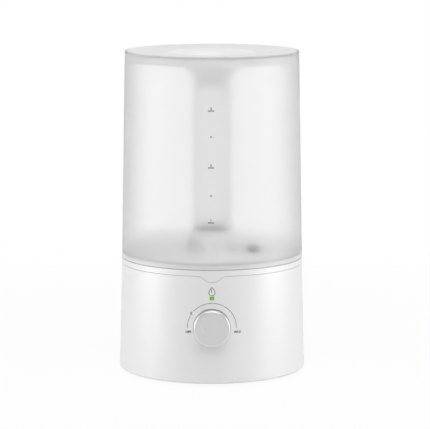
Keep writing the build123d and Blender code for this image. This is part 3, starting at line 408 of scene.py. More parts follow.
@dataclass(frozen=True)
class WallFrosting(Frosting):
    """Frosted wall of the tank: milky where the floor is welded in, its grey there painted shade at the
    tank's foot, and painted darker along its cut rim as the shade of the lid's gap.
    """

    weld: Point = (0.112, 0.118)
    # painted shade: the grey of the milky weld band stands in for the shade at the tank's foot
    weld_shade_colour: Colour = grey(0.70)
    # painted shade: the rim's colour is darkened by a share as the shadow of the lid's gap; its roughness is
    # raised there as well
    rim: Point = (0.3030, 0.3036)
    painted_rim_shade: float = 0.12
    rim_haze: float = 0.3

    def paint(self, shader: Shader) -> None:
        """Add the nodes of the finish."""
        height = shader.axes()[2]
        rim = height.eased(*self.rim)
        sockets = self.frost(shader)
        # painted shade of the lid's gap, darkening the colour along the top of the rim
        rim_shaded_colour = tinted(self.colour, 1.0 - self.painted_rim_shade)
        sockets["Base Color"] = shader.blend(rim, sockets["Base Color"], rim_shaded_colour)
        sockets["Roughness"] = sockets["Roughness"] + rim * self.rim_haze
        # the weld band is opaque milky plastic in a grey that is painted shade at the tank's foot
        self.milked(shader, sockets, self.weld_shade_colour, 1.0 - height.eased(*self.weld))


@dataclass(frozen=True)
class DishFrosting(Frosting):
    """Frosted lid: its colour painted greyer on top of its flange as shade, whiter in its bowl and below."""

    mouth: Point = (0.0395, 0.0415)
    top: Point = (0.3031, 0.3037)
    bowl_colour: Colour = grey(0.995)

    def paint(self, shader: Shader) -> None:
        """Add the nodes of the finish."""
        x, y, height = shader.axes()
        # painted shade: the top of the flange takes the greyer colour, the bowl and the underside the whiter
        # one
        flange = (x * x + y * y).root().eased(*self.mouth) * height.eased(*self.top)
        sockets = self.frost(shader)
        sockets["Base Color"] = shader.blend(flange, self.bowl_colour, sockets["Base Color"])
        shader.surface(sockets)


@dataclass(frozen=True)
class SilverPaint(Finish):
    """Silver paint: fine bright flakes in a clear satin binder."""

    metallic: float = 0.8
    roughness: float = 0.3

    def paint(self, shader: Shader) -> None:
        """Add the nodes of the finish."""
        flakes = shader.cells(scale=2600.0)
        clouds = shader.noise(scale=60.0)
        shader.surface({
            "Base Color": self.shades(shader, flakes, 1.04, 0.94),
            "Metallic": self.metallic + flakes.swing(0.1),
            "Roughness": self.roughness + clouds.swing(0.08),
            "Normal": shader.bump(flakes, strength=0.03, depth=0.00005),
        })


@dataclass(frozen=True)
class Rubber(Finish):
    """Soft matt rubber or silicone with a dusty, finely pitted face."""

    roughness: float = 0.75

    def paint(self, shader: Shader) -> None:
        """Add the nodes of the finish."""
        dust = shader.noise(scale=160.0, detail=4.0)
        pits = shader.cells(scale=1800.0)
        shade = dust * 0.7 + pits * 0.3
        shader.surface({
            "Base Color": self.shades(shader, shade, 0.88, 1.15),
            "Roughness": self.roughness + dust.swing(0.15),
            "Normal": shader.bump(pits, strength=0.15, depth=0.0001),
        })


@dataclass(frozen=True)
class Metal(Finish):
    """Plated, drawn or extruded metal with marks along its lay and a few duller spots."""

    roughness: float = 0.3
    lay: Lay = Lay.PLATED

    def paint(self, shader: Shader) -> None:
        """Add the nodes of the finish."""
        marks = shader.noise(scale=1.0, stretch=self.lay.value)
        spots = shader.noise(scale=220.0, detail=4.0).eased(0.45, 0.75)
        shade = marks * 0.6 + spots * 0.4
        shader.surface({
            "Base Color": self.shades(shader, shade, 1.06, 0.82),
            "Metallic": 1.0,
            "Roughness": self.roughness + marks.swing(0.18) + spots * 0.1,
            "Normal": shader.bump(marks, strength=0.08, depth=0.00005),
        })


@dataclass(frozen=True)
class Winding(Finish):
    """Enamelled wire laid in close turns along one axis."""

    pitch: float = 0.0005

    def paint(self, shader: Shader) -> None:
        """Add the nodes of the finish."""
        height = shader.axes()[2]
        turn = (height * (math.tau / self.pitch)).sine() * 0.5 + 0.5
        gloss = shader.noise(scale=400.0)
        shader.surface({
            "Base Color": self.shades(shader, turn * 0.8 + gloss * 0.2, 0.45, 1.0),
            "Metallic": 0.8,
            "Roughness": 0.3 + gloss * 0.12,
            "Normal": shader.bump(turn, strength=0.5, depth=0.0002),
        })


@dataclass(frozen=True)
class Laminate(Finish):
    """Circuit board: lacquer over copper tracks, with bare pads."""

    copper: Colour = (0.70, 0.52, 0.28)
    track_edge: Point = (0.30, 0.34)
    pad_edge: Point = (0.10, 0.13)

    def paint(self, shader: Shader) -> None:
        """Add the nodes of the finish."""
        along = shader.cells(scale=150.0, stretch=(1.0, 0.18, 1.0)).eased(*self.track_edge)
        across = shader.cells(scale=150.0, stretch=(0.18, 1.0, 1.0)).eased(*self.track_edge)
        tracks = along.most(across)
        pads = 1.0 - shader.cells(scale=210.0).eased(*self.pad_edge)
        weave = shader.noise(scale=900.0, detail=1.0)
        lacquer = self.shades(shader, tracks * 0.8 + weave * 0.2, 1.5, 0.8)
        shader.surface({
            "Base Color": shader.blend(pads, lacquer, self.copper),
            "Metallic": pads * 0.9,
            "Roughness": 0.35 - pads * 0.08 + weave.swing(0.1),
            "Normal": shader.bump(tracks * 0.6 + pads * 0.4, strength=0.25, depth=0.0001),
        })


@dataclass(frozen=True)
class Sintered(Finish):
    """Dense pressed magnet with a coarse dark grain."""

    def paint(self, shader: Shader) -> None:
        """Add the nodes of the finish."""
        grains = shader.cells(scale=1600.0)
        sheen = shader.noise(scale=300.0, detail=3.0)
        shader.surface({
            "Base Color": self.shades(shader, grains, 0.7, 1.8),
            "Metallic": 0.5,
            "Roughness": 0.45 + sheen * 0.2,
            "Normal": shader.bump(grains, strength=0.2, depth=0.0001),
        })


@dataclass(frozen=True)
class Ink(Finish):
    """Printed ink with slightly uneven cover."""

    def paint(self, shader: Shader) -> None:
        """Add the nodes of the finish."""
        cover = shader.noise(scale=1500.0, detail=3.0)
        shader.surface({
            "Base Color": self.shades(shader, cover, 0.85, 1.2),
            "Roughness": 0.5 + cover.swing(0.2),
            "Normal": shader.bump(cover, strength=0.1, depth=0.00002),
        })


@dataclass(frozen=True)
class Glow(Finish):
    """Tinted plastic that a lamp lights from behind, brightest in its middle."""

    middle: Sequence[float]
    reach: float
    strength: float

    def paint(self, shader: Shader) -> None:
        """Add the nodes of the finish."""
        across, _, up = shader.axes(self.middle)
        away = (across * across + up * up).root()
        haze = shader.noise(scale=1200.0)
        fall = away.eased(0.0, self.reach) * 0.75 + haze * 0.15
        shader.surface({
            "Base Color": self.shades(shader, haze, 0.8, 1.0),
            "Roughness": 0.25 + haze * 0.1,
            "Emission Color": self.shades(shader, fall, 1.7, 0.5),
            "Emission Strength": self.strength,
        })


WHITE = grey(0.80)

# finishes by the slot that a solid carries
FINISHES: Mapping[str, Finish] = {
    "white_abs": Moulding("shell_white", WHITE, 0.42, ior=1.8, coat=1.0, coat_ior=1.7),
    "trough_white": Moulding("trough_white_satin", WHITE, 0.42, ior=1.8, coat=1.0, coat_ior=1.7),
    # the tank wall's frosting paints shade at its foot and along its rim
    "frosted_tank": WallFrosting("tank_frosting", grey(0.996), 0.32, 0.93, 1.25),
    "knob_white": SilverPaint("knob_silver_paint", grey(0.80)),
    "knob_grey": Moulding("knob_grey_satin", grey(0.69), 0.42),
    "lamp_window": Glow("lamp_window_lit", (0.13, 0.40, 0.006), (0.0, 0.0, 0.0834), 0.003, 0.3),
    "lamp_green": Glow("lamp_lit", (0.20, 0.50, 0.03), (0.0, 0.0, 0.0834), 0.002, 0.6),
    "foot_rubber": Rubber("foot_rubber_grey", (0.28, 0.28, 0.29)),
    "silicone": Rubber("silicone_white", (0.72, 0.72, 0.70), 0.55),
    "screw_steel": Metal("screw_zinc", (0.62, 0.63, 0.65), 0.32),
    "disc_steel": Metal("disc_plating", (0.70, 0.69, 0.66), 0.22),
    "magnet_black": Sintered("magnet_grain", grey(0.06)),
    "float_white": Moulding("float_foam", (0.78, 0.78, 0.76), 0.7, Grain.SPARK),
    "black_plastic": Moulding("black_moulding", (0.022, 0.022, 0.024), 0.45, Grain.SPARK),
    "copper_wire": Winding("copper_turns", (0.70, 0.33, 0.16)),
    "board_green": Laminate("board_lacquer", (0.015, 0.12, 0.045)),
    "sink_aluminium": Metal("aluminium_extruded", (0.70, 0.71, 0.72), 0.35, Lay.EXTRUDED),
    "can_black": Moulding("capacitor_sleeve", (0.02, 0.02, 0.03), 0.25, Grain.SMOOTH),
    "plug_cream": Moulding("plug_cream_moulding", (0.72, 0.66, 0.50), 0.45),
    "lead_black": Rubber("lead_black_jacket", grey(0.03), 0.5),
    "lead_red": Rubber("lead_red_jacket", (0.40, 0.02, 0.02), 0.5),
    "lead_grey": Rubber("lead_grey_jacket", (0.30, 0.30, 0.31), 0.5),
    "pin_brass": Metal("pin_plating", (0.78, 0.62, 0.32), 0.22, Lay.DRAWN),
    "mark_ink": Ink("mark_ink_grey", (0.10, 0.10, 0.105)),
}

# finishes of single solids, which come before those of their slots
NODE_FINISHES: Mapping[str, Finish] = {
    "mist_tube": TubeFrosting("tube_frosting", grey(0.996), 0.3, 0.93, 1.2),
    "tank_floor": Frosting("floor_milky", grey(0.99), 0.5, 0.06, 1.25),
    "valve_cage": Frosting("cage_milky", grey(0.97), 0.5, 0.06, 1.25),
    # the lid's grey is painted shade on the top of its flange; its bowl and underside take the whiter bowl
    # colour
    "lid": DishFrosting("lid_milky", grey(0.91), 0.4, 0.06, 1.4),
    "valve_plunger": Moulding("plunger_white", grey(0.88), 0.4),
    "valve_seal": Rubber("valve_seal_white", (0.86, 0.86, 0.85), 0.55),
    "splash_guard": Frosting("guard_milky", grey(0.95), 0.4, 0.06, 1.4),
    "valve_spring": Metal("valve_spring_bright", grey(0.90), 0.5, Lay.DRAWN),
}


class Tree(Canvas):
    """A Geometry Nodes tree that is built in code and run once for each piece."""

    KINDS: Mapping[type, str] = {float: "NodeSocketFloat", int: "NodeSocketInt"}

    def __init__(self, name: str, sizes: Sizes) -> None:
        """Start a tree.

        Args:
            name: Name of the tree.
            sizes: Named inputs with their usual values.
        """
        super().__init__(bpy.data.node_groups.new(name, "GeometryNodeTree"))
        face = self.tree.interface
        face.new_socket("Geometry", in_out="OUTPUT", socket_type="NodeSocketGeometry")
        face.new_socket("Geometry", in_out="INPUT", socket_type="NodeSocketGeometry")
        self.keys: dict[str, str] = {}
        for label, usual in sizes.items():
            socket = face.new_socket(label, in_out="INPUT", socket_type=self.KINDS[type(usual)])
            socket.default_value = usual
            self.keys[label] = socket.identifier
        socket = face.new_socket("Material", in_out="INPUT", socket_type="NodeSocketMaterial")
        self.keys["Material"] = socket.identifier
        self.entry = self.node("NodeGroupInput")

    def given(self, label: str) -> Signal:
        """A named input as a signal."""
        return Signal(self, self.entry.outputs[label])

    def moved(self, geometry: Any, x: Number, y: Number, z: Number) -> NodeSocket:
        """Put each point of a geometry at new coordinates."""
        place = self.node("ShaderNodeCombineXYZ", None, {0: x, 1: y, 2: z}).outputs[0]
        sockets = {"Geometry": geometry, "Position": place}
        return self.node("GeometryNodeSetPosition", None, sockets).outputs[0]

    def wrapped(self, geometry: Any, depth_share: Number = 1.0) -> NodeSocket:
        """Bend a flat print in the XZ plane round a cone about the Z axis.

        Args:
            geometry: Socket with the flat print, which faces -Y.
            depth_share: Factor on its thickness.

        Returns:
            The socket with the bent print.
        """
        across, depth, height = self.split(self.node("GeometryNodeInputPosition").outputs[0])
        radius = self.given("Radius") + self.given("Slope") * height
        angle = across / radius
        reach = radius - depth * depth_share
        return self.moved(geometry, reach * angle.sine(), 0.0 - reach * angle.cosine(), height)

    def close(self, geometry: Any) -> None:
        """End the tree with a plain, dressed mesh of the finished geometry."""
        plain = self.node("GeometryNodeRealizeInstances", None, {"Geometry": geometry}).outputs[0]
        sockets = {"Geometry": plain, "Material": self.entry.outputs["Material"]}
        dressed = self.node("GeometryNodeSetMaterial", None, sockets)
        self.node("NodeGroupOutput", None, {"Geometry": dressed.outputs[0]})

    def run(self, name: str, source: Mesh, finish: Finish, sizes: Sizes) -> Object:
        """Run the tree on a mesh and keep the result as a plain mesh.

        Args:
            name: Name of the piece.
            source: Mesh that the tree starts from; it is used up.
            finish: Finish of the piece.
            sizes: Values of the named inputs.

        Returns:
            The piece, at the origin.
        """
        carrier = placed(name + "_source", source)
        modifier = carrier.modifiers.new("tree", "NODES")
        modifier.node_group = self.tree
        for label, value in sizes.items():
            modifier[self.keys[label]] = value
        modifier[self.keys["Material"]] = finish.material()
        mesh = frozen(carrier)
        bpy.data.meshes.remove(source)
        mesh.name = name
        face_outwards(mesh)
        return placed(name, mesh)


DOUBLE_REACH = 1e-7
SEAM_REACH = 1e-6


def placed(name: str, data: ID) -> Object:
    """Put a new object with its data in the scene, at the origin."""
    made = bpy.data.objects.new(name, data)
    bpy.context.scene.collection.objects.link(made)
    return made


def frozen(carrier: Object) -> Mesh:
    """Plain mesh of what an object shows.

    Args:
        carrier: The object, which is used up.

    Returns:
        The mesh.
    """
    state = bpy.context.evaluated_depsgraph_get()
    mesh = bpy.data.meshes.new_from_object(carrier.evaluated_get(state), depsgraph=state)
    bpy.data.objects.remove(carrier)
    return mesh


def face_outwards(mesh: Mesh) -> None:
    """Merge doubles of a closed mesh and turn every face outwards."""
    tidy = bmesh.new()
    tidy.from_mesh(mesh)
    bmesh.ops.remove_doubles(tidy, verts=tidy.verts, dist=DOUBLE_REACH)
    bmesh.ops.recalc_face_normals(tidy, faces=tidy.faces)
    tidy.to_mesh(mesh)
    tidy.free()


def outline_mesh(name: str, lines: Iterable[Sequence[Point]]) -> Mesh:
    """Mesh of bare edges in the XZ plane.

    Args:
        name: Name of the mesh.
        lines: Points of each open line, as X and Z.

    Returns:
        The mesh.
    """
    points: list[Place] = []
    edges: list[tuple[int, int]] = []
    for line in lines:
        first = len(points)
        points.extend((x, 0.0, z) for x, z in line)
        edges.extend((index, index + 1) for index in range(first, len(points) - 1))
    mesh = bpy.data.meshes.new(name)
    mesh.from_pydata(points, edges, [])
    return mesh


def arc(centre: Point, radius: float, start: float, end: float, steps: int) -> list[Point]:
    """Points along an arc, both ends among them, with its angles in degrees."""
    angles = [math.radians(start + (end - start) * step / steps) for step in range(steps + 1)]
    return [(centre[0] + radius * math.cos(turn), centre[1] + radius * math.sin(turn)) for turn in angles]


@cache
def turned_tree() -> Tree:
    """Tree that turns a half profile about the Z axis.

    Returns:
        The tree, with the number of segments and of profile points as its inputs.
    """
    tree = Tree("turned_piece", {"Segments": 96, "Profile points": 8})
    around = tree.given("Segments")
    count = tree.given("Profile points")
    grid = tree.node("GeometryNodeMeshGrid", None, {"Vertices X": around + 1.0, "Vertices Y": count})
    number = Signal(tree, tree.node("GeometryNodeInputIndex").outputs[0])
    column = (number / count).floor()
    row = number - column * count
    angle = column * math.tau / around
    place = tree.node("GeometryNodeInputPosition").outputs[0]
    sample = tree.node(
        "GeometryNodeSampleIndex",
        {"data_type": "FLOAT_VECTOR", "domain": "POINT"},
        {"Geometry": tree.entry.outputs["Geometry"], "Value": place, "Index": row},
    )
    radius, _, height = tree.split(sample.outputs[0])
    shape = tree.moved(grid.outputs["Mesh"], radius * angle.cosine(), radius * angle.sine(), height)
    seam = {"Geometry": shape, "Distance": SEAM_REACH}
    joined = tree.node("GeometryNodeMergeByDistance", None, seam).outputs[0]
    smooth = tree.node("GeometryNodeSetShadeSmooth", None, {"Geometry": joined, "Shade Smooth": True})
    tree.close(smooth.outputs[0])
    return tree


PRINT_SIZES: Sizes = {"Radius": 0.08, "Slope": 0.0, "Thickness": 0.00004}
LINE_SIDES = 8
DOT_SIDES = 20


@cache
def line_tree() -> Tree:
    """Tree that prints lines of an even width along edges.

    Returns:
        The tree, with the width of the line among its inputs.
    """
    tree = Tree("printed_lines", {**PRINT_SIZES, "Width": 0.0005})
    width = tree.given("Width")
    path = tree.node("GeometryNodeMeshToCurve", None, {"Mesh": tree.entry.outputs["Geometry"]}).outputs[0]
    round_pen = {"Resolution": LINE_SIDES, "Radius": width * 0.5}
    ring = tree.node("GeometryNodeCurvePrimitiveCircle", None, round_pen)
    sweep = {"Curve": path, "Profile Curve": ring.outputs[0], "Fill Caps": True}
    body = tree.node("GeometryNodeCurveToMesh", None, sweep)
    tree.close(tree.wrapped(body.outputs[0], tree.given("Thickness") / width))
    return tree


@cache
def dot_tree() -> Tree:
    """Tree that prints round dots at points.

    Returns:
        The tree, with the diameter of the dots among its inputs.
    """
    tree = Tree("printed_dots", {**PRINT_SIZES, "Diameter": 0.001})
    radius = tree.given("Diameter") * 0.5
    flat = {"Vertices": DOT_SIDES, "Radius": radius, "Depth": tree.given("Thickness")}
    disc = tree.node("GeometryNodeMeshCylinder", None, flat)
    spread = {
        "Points": tree.entry.outputs["Geometry"],
        "Instance": disc.outputs["Mesh"],
        "Rotation": (math.pi / 2, 0.0, 0.0),
    }
    dots = tree.node("GeometryNodeInstanceOnPoints", None, spread)
    plain = tree.node("GeometryNodeRealizeInstances", None, {"Geometry": dots.outputs[0]}).outputs[0]
    tree.close(tree.wrapped(plain))
    return tree


@cache
def word_tree() -> Tree:
    """Tree that bends flat words round the outside."""
    tree = Tree("printed_words", PRINT_SIZES)
    tree.close(tree.wrapped(tree.entry.outputs["Geometry"]))
    return tree


class Section(Enum):
    """The two cones of the outside."""

    BASE = "base"
    TANK = "tank"


@dataclass(frozen=True)
class Outside:
    """Outer line: a cone for the base and one for the tank, between ends of a height and a radius."""

    foot: Point = (0.003, 0.0885)
    joint: Point = (0.1093, 0.0858)
    top: Point = (0.3055, 0.0822)

    def cone(self, section: Section) -> Point:
        """Line of one cone.

        Args:
            section: Which of the two cones.

        Returns:
            Its radius at height nought and its slope.
        """
        ends = (self.foot, self.joint) if section is Section.BASE else (self.joint, self.top)
        (low, low_radius), (high, high_radius) = ends
        slope = (high_radius - low_radius) / (high - low)
        return low_radius - slope * low, slope

    def radius(self, section: Section, height: float) -> float:
        """Radius of a cone at a height."""
        start, slope = self.cone(section)
        return start + slope * height


@dataclass(frozen=True)
class Words:
    """A few printed letters: what they say, their middle and the height of a capital."""

    text: str
    middle: Point
    height: float


class Printer:
    """Prints thin marks on one cone of the outside."""

    THICKNESS = 0.00005
    LIFT = 0.00003
    BOLDNESS = 0.04
    CAPITAL_SHARE = 0.69
    LETTER_STEPS = 4

    def __init__(self, outside: Outside, section: Section, body: str) -> None:
        """Take the cone to print on.

        Args:
            outside: Outer line of the humidifier.
            section: The cone to print on.
            body: The body that the marks ride on.
        """
        start, slope = outside.cone(section)
        self.sizes = {"Radius": start + self.LIFT, "Slope": slope, "Thickness": self.THICKNESS}
        self.body = body
        self.ink = FINISHES["mark_ink"]

    def keep(self, piece: Object) -> None:
        """Let a finished mark ride on its body."""
        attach(piece, self.body)
        LOG.info("printed %s on %s", piece.name, self.body)

    def lines(self, name: str, lines: Iterable[Sequence[Point]], width: float) -> None:
        """Print lines of an even width through points across the front and up."""
        sizes = {**self.sizes, "Width": width}
        self.keep(line_tree().run(name, outline_mesh(name + "_path", lines), self.ink, sizes))

    def dots(self, name: str, points: Sequence[Point], diameter: float) -> None:
        """Print round dots with their middles at points across the front and up."""
        sizes = {**self.sizes, "Diameter": diameter}
        mesh = outline_mesh(name + "_points", [[point] for point in points])
        self.keep(dot_tree().run(name, mesh, self.ink, sizes))

    def words(self, name: str, phrases: Sequence[Words]) -> None:
        """Print plain words or numbers.

        Args:
            name: Name of the piece.
            phrases: The words and their places.
        """
        merged = bmesh.new()
        for phrase in phrases:
            mesh = self.letters(phrase)
            merged.from_mesh(mesh)
            bpy.data.meshes.remove(mesh)
        flat = bpy.data.meshes.new(name + "_flat")
        merged.to_mesh(flat)
        merged.free()
        self.keep(word_tree().run(name, flat, self.ink, self.sizes))

    def letters(self, phrase: Words) -> Mesh:
        """Flat letters that face -Y, in place.

        Args:
            phrase: The words, their middle and their height.

        Returns:
            A closed mesh of the printed thickness.
        """
        curve = bpy.data.curves.new(phrase.text, "FONT")
        curve.body = phrase.text
        curve.size = phrase.height / self.CAPITAL_SHARE
        curve.extrude = self.THICKNESS / 2
        curve.offset = phrase.height * self.BOLDNESS
        curve.resolution_u = self.LETTER_STEPS
        mesh = frozen(placed(phrase.text, curve))
        bpy.data.curves.remove(curve)
        mesh.transform(Matrix.Rotation(math.pi / 2, 4, "X"))
        reach = [(min(values), max(values)) for values in zip(*(point.co for point in mesh.vertices))]
        middle = Vector((sum(reach[0]) / 2, 0.0, sum(reach[2]) / 2))
        mesh.transform(Matrix.Translation(Vector((phrase.middle[0], 0.0, phrase.middle[1])) - middle))
        return mesh


@dataclass
class Assembly:
    """A group of pieces that is built and dressed together."""

    nodes: Names = ()

    def build(self) -> None:
        """Add the pieces that the solids don't hold."""

    def dress(self) -> None:
        """Give each solid of the group the finish of its slot."""
        for name in self.nodes:
            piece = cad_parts[name]
            for holder in piece.material_slots:
                finish = NODE_FINISHES.get(name) or FINISHES[holder.material.name]
                holder.material = finish.material()
            LOG.info("dressed %s", name)


@dataclass
class Tank(Assembly):
    """Frosted tank with its level marks, mist tube and valve."""

    nodes: Names = (
        "tank_wall", "tank_floor", "mist_tube", "valve_cage", "valve_plunger", "valve_seal", "valve_spring",
    )
    outside: Outside = Outside()
    wall: float = 0.0025
    rim_wall: float = 0.0015
    rebate: float = 0.0018
    edge_round: float = 0.0005
    edge_clear: float = 2.0
    rim_clear: float = 1.2
    edge_steps: int = 5
    side_steps: int = 8
    segments: int = 180
    mark_across: float = -0.0008
    litre_heights: tuple[float, ...] = (0.1553, 0.2060, 0.2582)
    half_heights: tuple[float, ...] = (0.1785, 0.2326)
    mark_height: float = 0.0023
    mark_rise: float = 0.0003
    bar_width: float = 0.0056
    bar_thickness: float = 0.0009
    bar_drop: float = 0.0018
    dot_diameter: float = 0.0015

    def build(self) -> None:
        """Add the smooth wall and the level marks."""
        self.turn_wall()
        self.print_levels()

    def profile(self) -> list[Point]:
        """Closed half profile of the wall, with round edges and the rebate for the lid.

        Returns:
            Points of radius and height, the first repeated at the end.
        """
        low, high = (corner.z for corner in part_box("tank_wall"))
        ledge = high - self.rebate
        edge = self.edge_round
        clear = edge * self.edge_clear

        def run(inset: float, start: float, end: float) -> list[Point]:
            """Straight side, drawn in from the outside, that stops short of the round edges."""
            steps = range(self.side_steps + 1)
            heights = [start + (end - start) * step / self.side_steps for step in steps]
            return [(self.outside.radius(Section.TANK, height) - inset, height) for height in heights]

        def turn(inset: float, height: float, start: float) -> list[Point]:
            """Round edge about a centre, a quarter turn from its first angle."""
            centre = (self.outside.radius(Section.TANK, height) - inset, height)
            return arc(centre, edge, start, start + 90.0, self.edge_steps)

        points = turn(edge, low + edge, -90.0)
        points += run(0.0, low + clear, high - clear)
        points += turn(edge, high - edge, 0.0)
        points += turn(self.rim_wall - edge, high - edge, 90.0)
        points += run(self.rim_wall, high - edge * self.rim_clear, ledge)
        points += turn(self.wall - edge, ledge - edge, 90.0)
        points += run(self.wall, ledge - clear, low + clear)
        points += turn(self.wall - edge, low + edge, 180.0)
        return points + points[:1]

    def turn_wall(self) -> None:
        """Turn the wall and let it stand for its solid."""
        profile = self.profile()
        source = outline_mesh("tank_profile", [profile])
        sizes = {"Segments": self.segments, "Profile points": len(profile)}
        wall = turned_tree().run("tank_shell", source, FINISHES["frosted_tank"], sizes)
        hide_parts("tank_wall")
        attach(wall, "tank")
        LOG.info("turned %s for tank_wall", wall.name)

    def print_levels(self) -> None:
        """Print the litre numbers, their bars and the dots between them."""
        printer = Printer(self.outside, Section.TANK, "tank")
        x = self.mark_across
        half = self.bar_width / 2
        numbers = [
            Words(str(litres), (x, height + self.mark_rise), self.mark_height)
            for litres, height in enumerate(self.litre_heights, 1)
        ]
        feet = [height - self.bar_drop for height in self.litre_heights]
        bars = [[(x - half, foot), (x + half, foot)] for foot in feet]
        printer.words("level_numbers", numbers)
        printer.lines("level_bars", bars, self.bar_thickness)
        printer.dots("level_dots", [(x, height) for height in self.half_heights], self.dot_diameter)


@dataclass
class Lid(Assembly):
    """Lid with its sunken bowl and the guard in its throat."""

    nodes: Names = ("lid", "splash_guard")


@dataclass
class Base(Assembly):
    """Base shell, trough, bottom and feet."""

    nodes: Names = (
        "base_shell", "trough", "bottom_cover", "rubber_feet", "bottom_screws", "trough_screws",
        "float_body", "float_magnet", "float_pad", "reed_switch",
    )


@dataclass
class Controls(Assembly):
    """Knob, lamp and the marks around them."""

    nodes: Names = (
        "knob_body", "knob_cap", "pot_shaft", "pot_body",
        "control_board", "panel_screws", "lamp", "light_pipe",
    )
    outside: Outside = Outside()
    knob_height: float = 0.056
    scale_radius: float = 0.0228
    scale_width: float = 0.00042
    scale_ends: Point = (182.0, -2.0)
    scale_steps: tuple[int, int] = (12, 48)
    sleep_angle: float = 145.0
    sleep_gap: float = 6.5
    moon_radius: float = 0.0014
    moon_bite: float = 0.00137
    moon_shift: float = 0.00085
    word_height: float = 0.0021
    word_drop: float = 0.0043
    off_across: float = -0.0221
    max_across: float = 0.0242
    drop_height: float = 0.0898
    drop_width: float = 0.0058
    drop_fullness: float = 0.62
    drop_length: float = 0.0076
    drop_line: float = 0.0006
    drop_steps: int = 40
    curl_middle: Point = (-0.0044, -0.0007)
    curl_radius: float = 0.0043

    def build(self) -> None:
        """Print the scale, its words and the drop over the lamp."""
        printer = Printer(self.outside, Section.BASE, "base")
        middle = (0.0, self.knob_height)
        first, last = self.scale_ends
        low = self.sleep_angle + self.sleep_gap
        high = self.sleep_angle - self.sleep_gap
        scale = [
            arc(middle, self.scale_radius, first, low, self.scale_steps[0]),
            arc(middle, self.scale_radius, high, last, self.scale_steps[1]),
        ]
        printer.lines("knob_scale", scale, self.scale_width)
        printer.lines("sleep_mark", [self.crescent()], self.scale_width)
        printer.lines("drop_mark", [self.drop(), self.curl()], self.drop_line)
        line = self.knob_height - self.word_drop
        words = [
            Words("OFF", (self.off_across, line), self.word_height),
            Words("MAX", (self.max_across, line), self.word_height),
        ]
        printer.words("scale_words", words)

    def crescent(self) -> list[Point]:
        """Outline of the small moon that marks the low end of the scale.

        Returns:
            Points of a closed line.
        """
        turn = math.radians(self.sleep_angle)
        x = self.scale_radius * math.cos(turn)
        z = self.knob_height + self.scale_radius * math.sin(turn)
        outer = arc((x, z), self.moon_radius, start=70.0, end=290.0, steps=14)
        inner = arc((x + self.moon_shift, z), self.moon_bite, start=253.0, end=107.0, steps=10)
        return outer + inner + outer[:1]

    def drop(self) -> list[Point]:
        """Outline of the drop.

        Returns:
            Points of a closed line, from the tip round and back.
        """
        points = []
        for step in range(self.drop_steps + 1):
            turn = math.tau * step / self.drop_steps
            wide = math.sin(turn) * math.sin(turn / 2)
            across = self.drop_width * self.drop_fullness * wide
            points.append((across, self.drop_height + self.drop_length / 2 * math.cos(turn)))
        return points

    def curl(self) -> list[Point]:
        """Curl that runs from the left side of the drop down to its middle."""
        x, z = self.curl_middle
        return arc((x, self.drop_height + z), self.curl_radius, start=46.0, end=-5.0, steps=10)


@dataclass
class Inlet(Assembly):
    """Inlet socket at the back."""

    nodes: Names = ("dc_jack", "jack_pin", "jack_nut")


@dataclass
class MistMaker(Assembly):
    """Ultrasonic disc under the trough."""

    nodes: Names = ("transducer_disc", "transducer_seal", "transducer_retainer", "transducer_screws")


@dataclass
class Blower(Assembly):
    """Fan and the duct above it."""

    nodes: Names = ("fan_frame", "fan_stator", "fan_rotor", "fan_screws", "air_duct")


@dataclass
class Electronics(Assembly):
    """Driver board, the pieces on it and the leads."""

    nodes: Names = (
        "driver_board", "board_screws", "heat_sink", "power_transistor", "drive_coil", "capacitors",
        "board_connectors", "fan_lead", "transducer_lead", "panel_lead", "power_lead", "reed_lead",
    )


@dataclass(frozen=True)
class Softbox:
    """Large plain lamp that faces a point; rays through glass may pass it by."""

    name: str
    place: Place
    aim: Place
    width: float
    height: float
    power: float
    through_glass: bool = True

    def build(self) -> None:
        """Add the lamp to the scene."""
        light = bpy.data.lights.new(self.name, "AREA")
        light.shape = "RECTANGLE"
        light.size = self.width
        light.size_y = self.height
        light.energy = self.power
        lamp = placed(self.name, light)
        lamp.location = self.place
        lamp.rotation_euler = (Vector(self.aim) - Vector(self.place)).to_track_quat("-Z", "Y").to_euler()
        lamp.visible_camera = False
        lamp.visible_transmission = self.through_glass


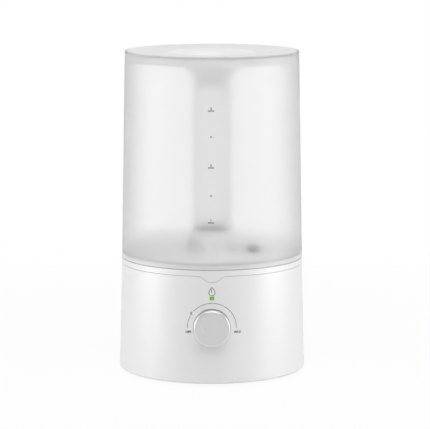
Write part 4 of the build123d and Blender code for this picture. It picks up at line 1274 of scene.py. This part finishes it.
@dataclass(frozen=True)
class Studio:
    """Floor, surroundings, lamps and camera."""

    floor_size: float = 8.0
    floor_colour: Colour = grey(0.80)
    floor_veil: float = 0.94
    floor_fade: Point = (0.03, 0.6)
    floor_gloss: float = 0.55
    ambient: float = 0.32
    gloss_panel: Point = (0.985, 0.999)
    glass_panel: Point = (-1.25, 0.1)
    camera_place: Place = (0.00283, -2.1945, 0.4776)
    camera_pitch: float = 81.474
    camera_lens: float = 194.86
    camera_sensor: float = 36.0
    camera_reach: float = 50.0
    lamps: tuple[Softbox, ...] = (
        Softbox("left_strip", (-0.9, -0.2, 0.28), (0.0, 0.0, 0.17), 0.55, 0.56, 3.5, False),
        Softbox("right_strip", (0.9, -0.2, 0.28), (0.0, 0.0, 0.17), 0.55, 0.56, 3.5, False),
        Softbox("back_softbox", (0.0, 1.3, 0.9), (0.0, 0.0, 0.25), 1.4, 0.8, 3.0),
        Softbox("front_softbox", (0.15, -1.15, 2.1), (0.0, 0.0, 0.17), 2.4, 1.8, 29.5),
    )

    def build(self) -> None:
        """Set up everything around the object."""
        bpy.context.scene.view_settings.view_transform = "Standard"
        self.lay_floor()
        self.surround()
        for lamp in self.lamps:
            lamp.build()
        self.set_camera()

    @staticmethod
    def seen(canvas: Canvas) -> Signals:
        """Kinds of rays that show the background.

        Args:
            canvas: Node tree that needs them.

        Returns:
            One for rays from the camera, one for rays from gloss and one for rays through glass.
        """
        rays = canvas.node("ShaderNodeLightPath").outputs
        labels = ("Is Camera Ray", "Is Glossy Ray", "Is Transmission Ray")
        direct, gloss, glass = (Signal(canvas, rays[label]) for label in labels)
        return direct, gloss, glass

    def lay_floor(self) -> None:
        """Lay a plain white floor that keeps the object's shadow."""
        half = self.floor_size / 2
        plan = ((-half, -half), (half, -half), (half, half), (-half, half))
        mesh = bpy.data.meshes.new("floor")
        mesh.from_pydata([(*corner, 0.0) for corner in plan], [], [(0, 1, 2, 3)])
        material = bpy.data.materials.new("floor_white")
        material.use_nodes = True
        shader = Shader(material.node_tree)
        x, y, _ = shader.axes()
        far = (x * x + y * y).eased(*self.floor_fade)
        direct, gloss, glass = self.seen(shader)
        shown = direct.most((gloss * self.floor_gloss).most(glass))
        veil = shown * (self.floor_veil + far * (1.0 - self.floor_veil))
        paint = shader.node("ShaderNodeBsdfDiffuse", None, {"Color": (*self.floor_colour, 1.0)})
        white = shader.node("ShaderNodeEmission", None, {"Color": FULL_WHITE, "Strength": 1.0})
        shader.mix(veil, paint, white)
        mesh.materials.append(material)
        placed("floor", mesh)

    def surround(self) -> None:
        """Light the surroundings evenly, with white for the camera and white panels for gloss and glass."""
        world = bpy.data.worlds.new("studio")
        bpy.context.scene.world = world
        world.use_nodes = True
        canvas = Canvas(world.node_tree)
        direct, gloss, glass = self.seen(canvas)
        way = canvas.node("ShaderNodeTexCoord").outputs["Generated"]
        _, back, _ = canvas.split(way)
        panel = (gloss * back.eased(*self.gloss_panel)).most(glass * back.eased(*self.glass_panel))
        shown = direct.most(panel)
        level = self.ambient + shown * (1.0 - self.ambient)
        sky = canvas.node("ShaderNodeBackground", None, {"Color": FULL_WHITE, "Strength": level})
        canvas.node("ShaderNodeOutputWorld", None, {"Surface": sky.outputs[0]})

    def set_camera(self) -> None:
        """Put the camera where the photograph was taken from."""
        data = bpy.data.cameras.new("camera")
        data.sensor_fit = "HORIZONTAL"
        data.sensor_width = self.camera_sensor
        data.lens = self.camera_lens
        data.clip_end = self.camera_reach
        camera = placed("camera", data)
        camera.location = self.camera_place
        camera.rotation_euler = (math.radians(self.camera_pitch), 0.0, 0.0)
        bpy.context.scene.camera = camera


def main() -> None:
    """Build, dress and light the humidifier."""
    logging.basicConfig(level=logging.INFO, format="%(name)s: %(message)s")
    groups = (Tank(), Lid(), Base(), Controls(), Inlet(), MistMaker(), Blower(), Electronics())
    for group in groups:
        group.build()
        group.dress()
    Studio().build()


if __name__ == "__main__":
    main()
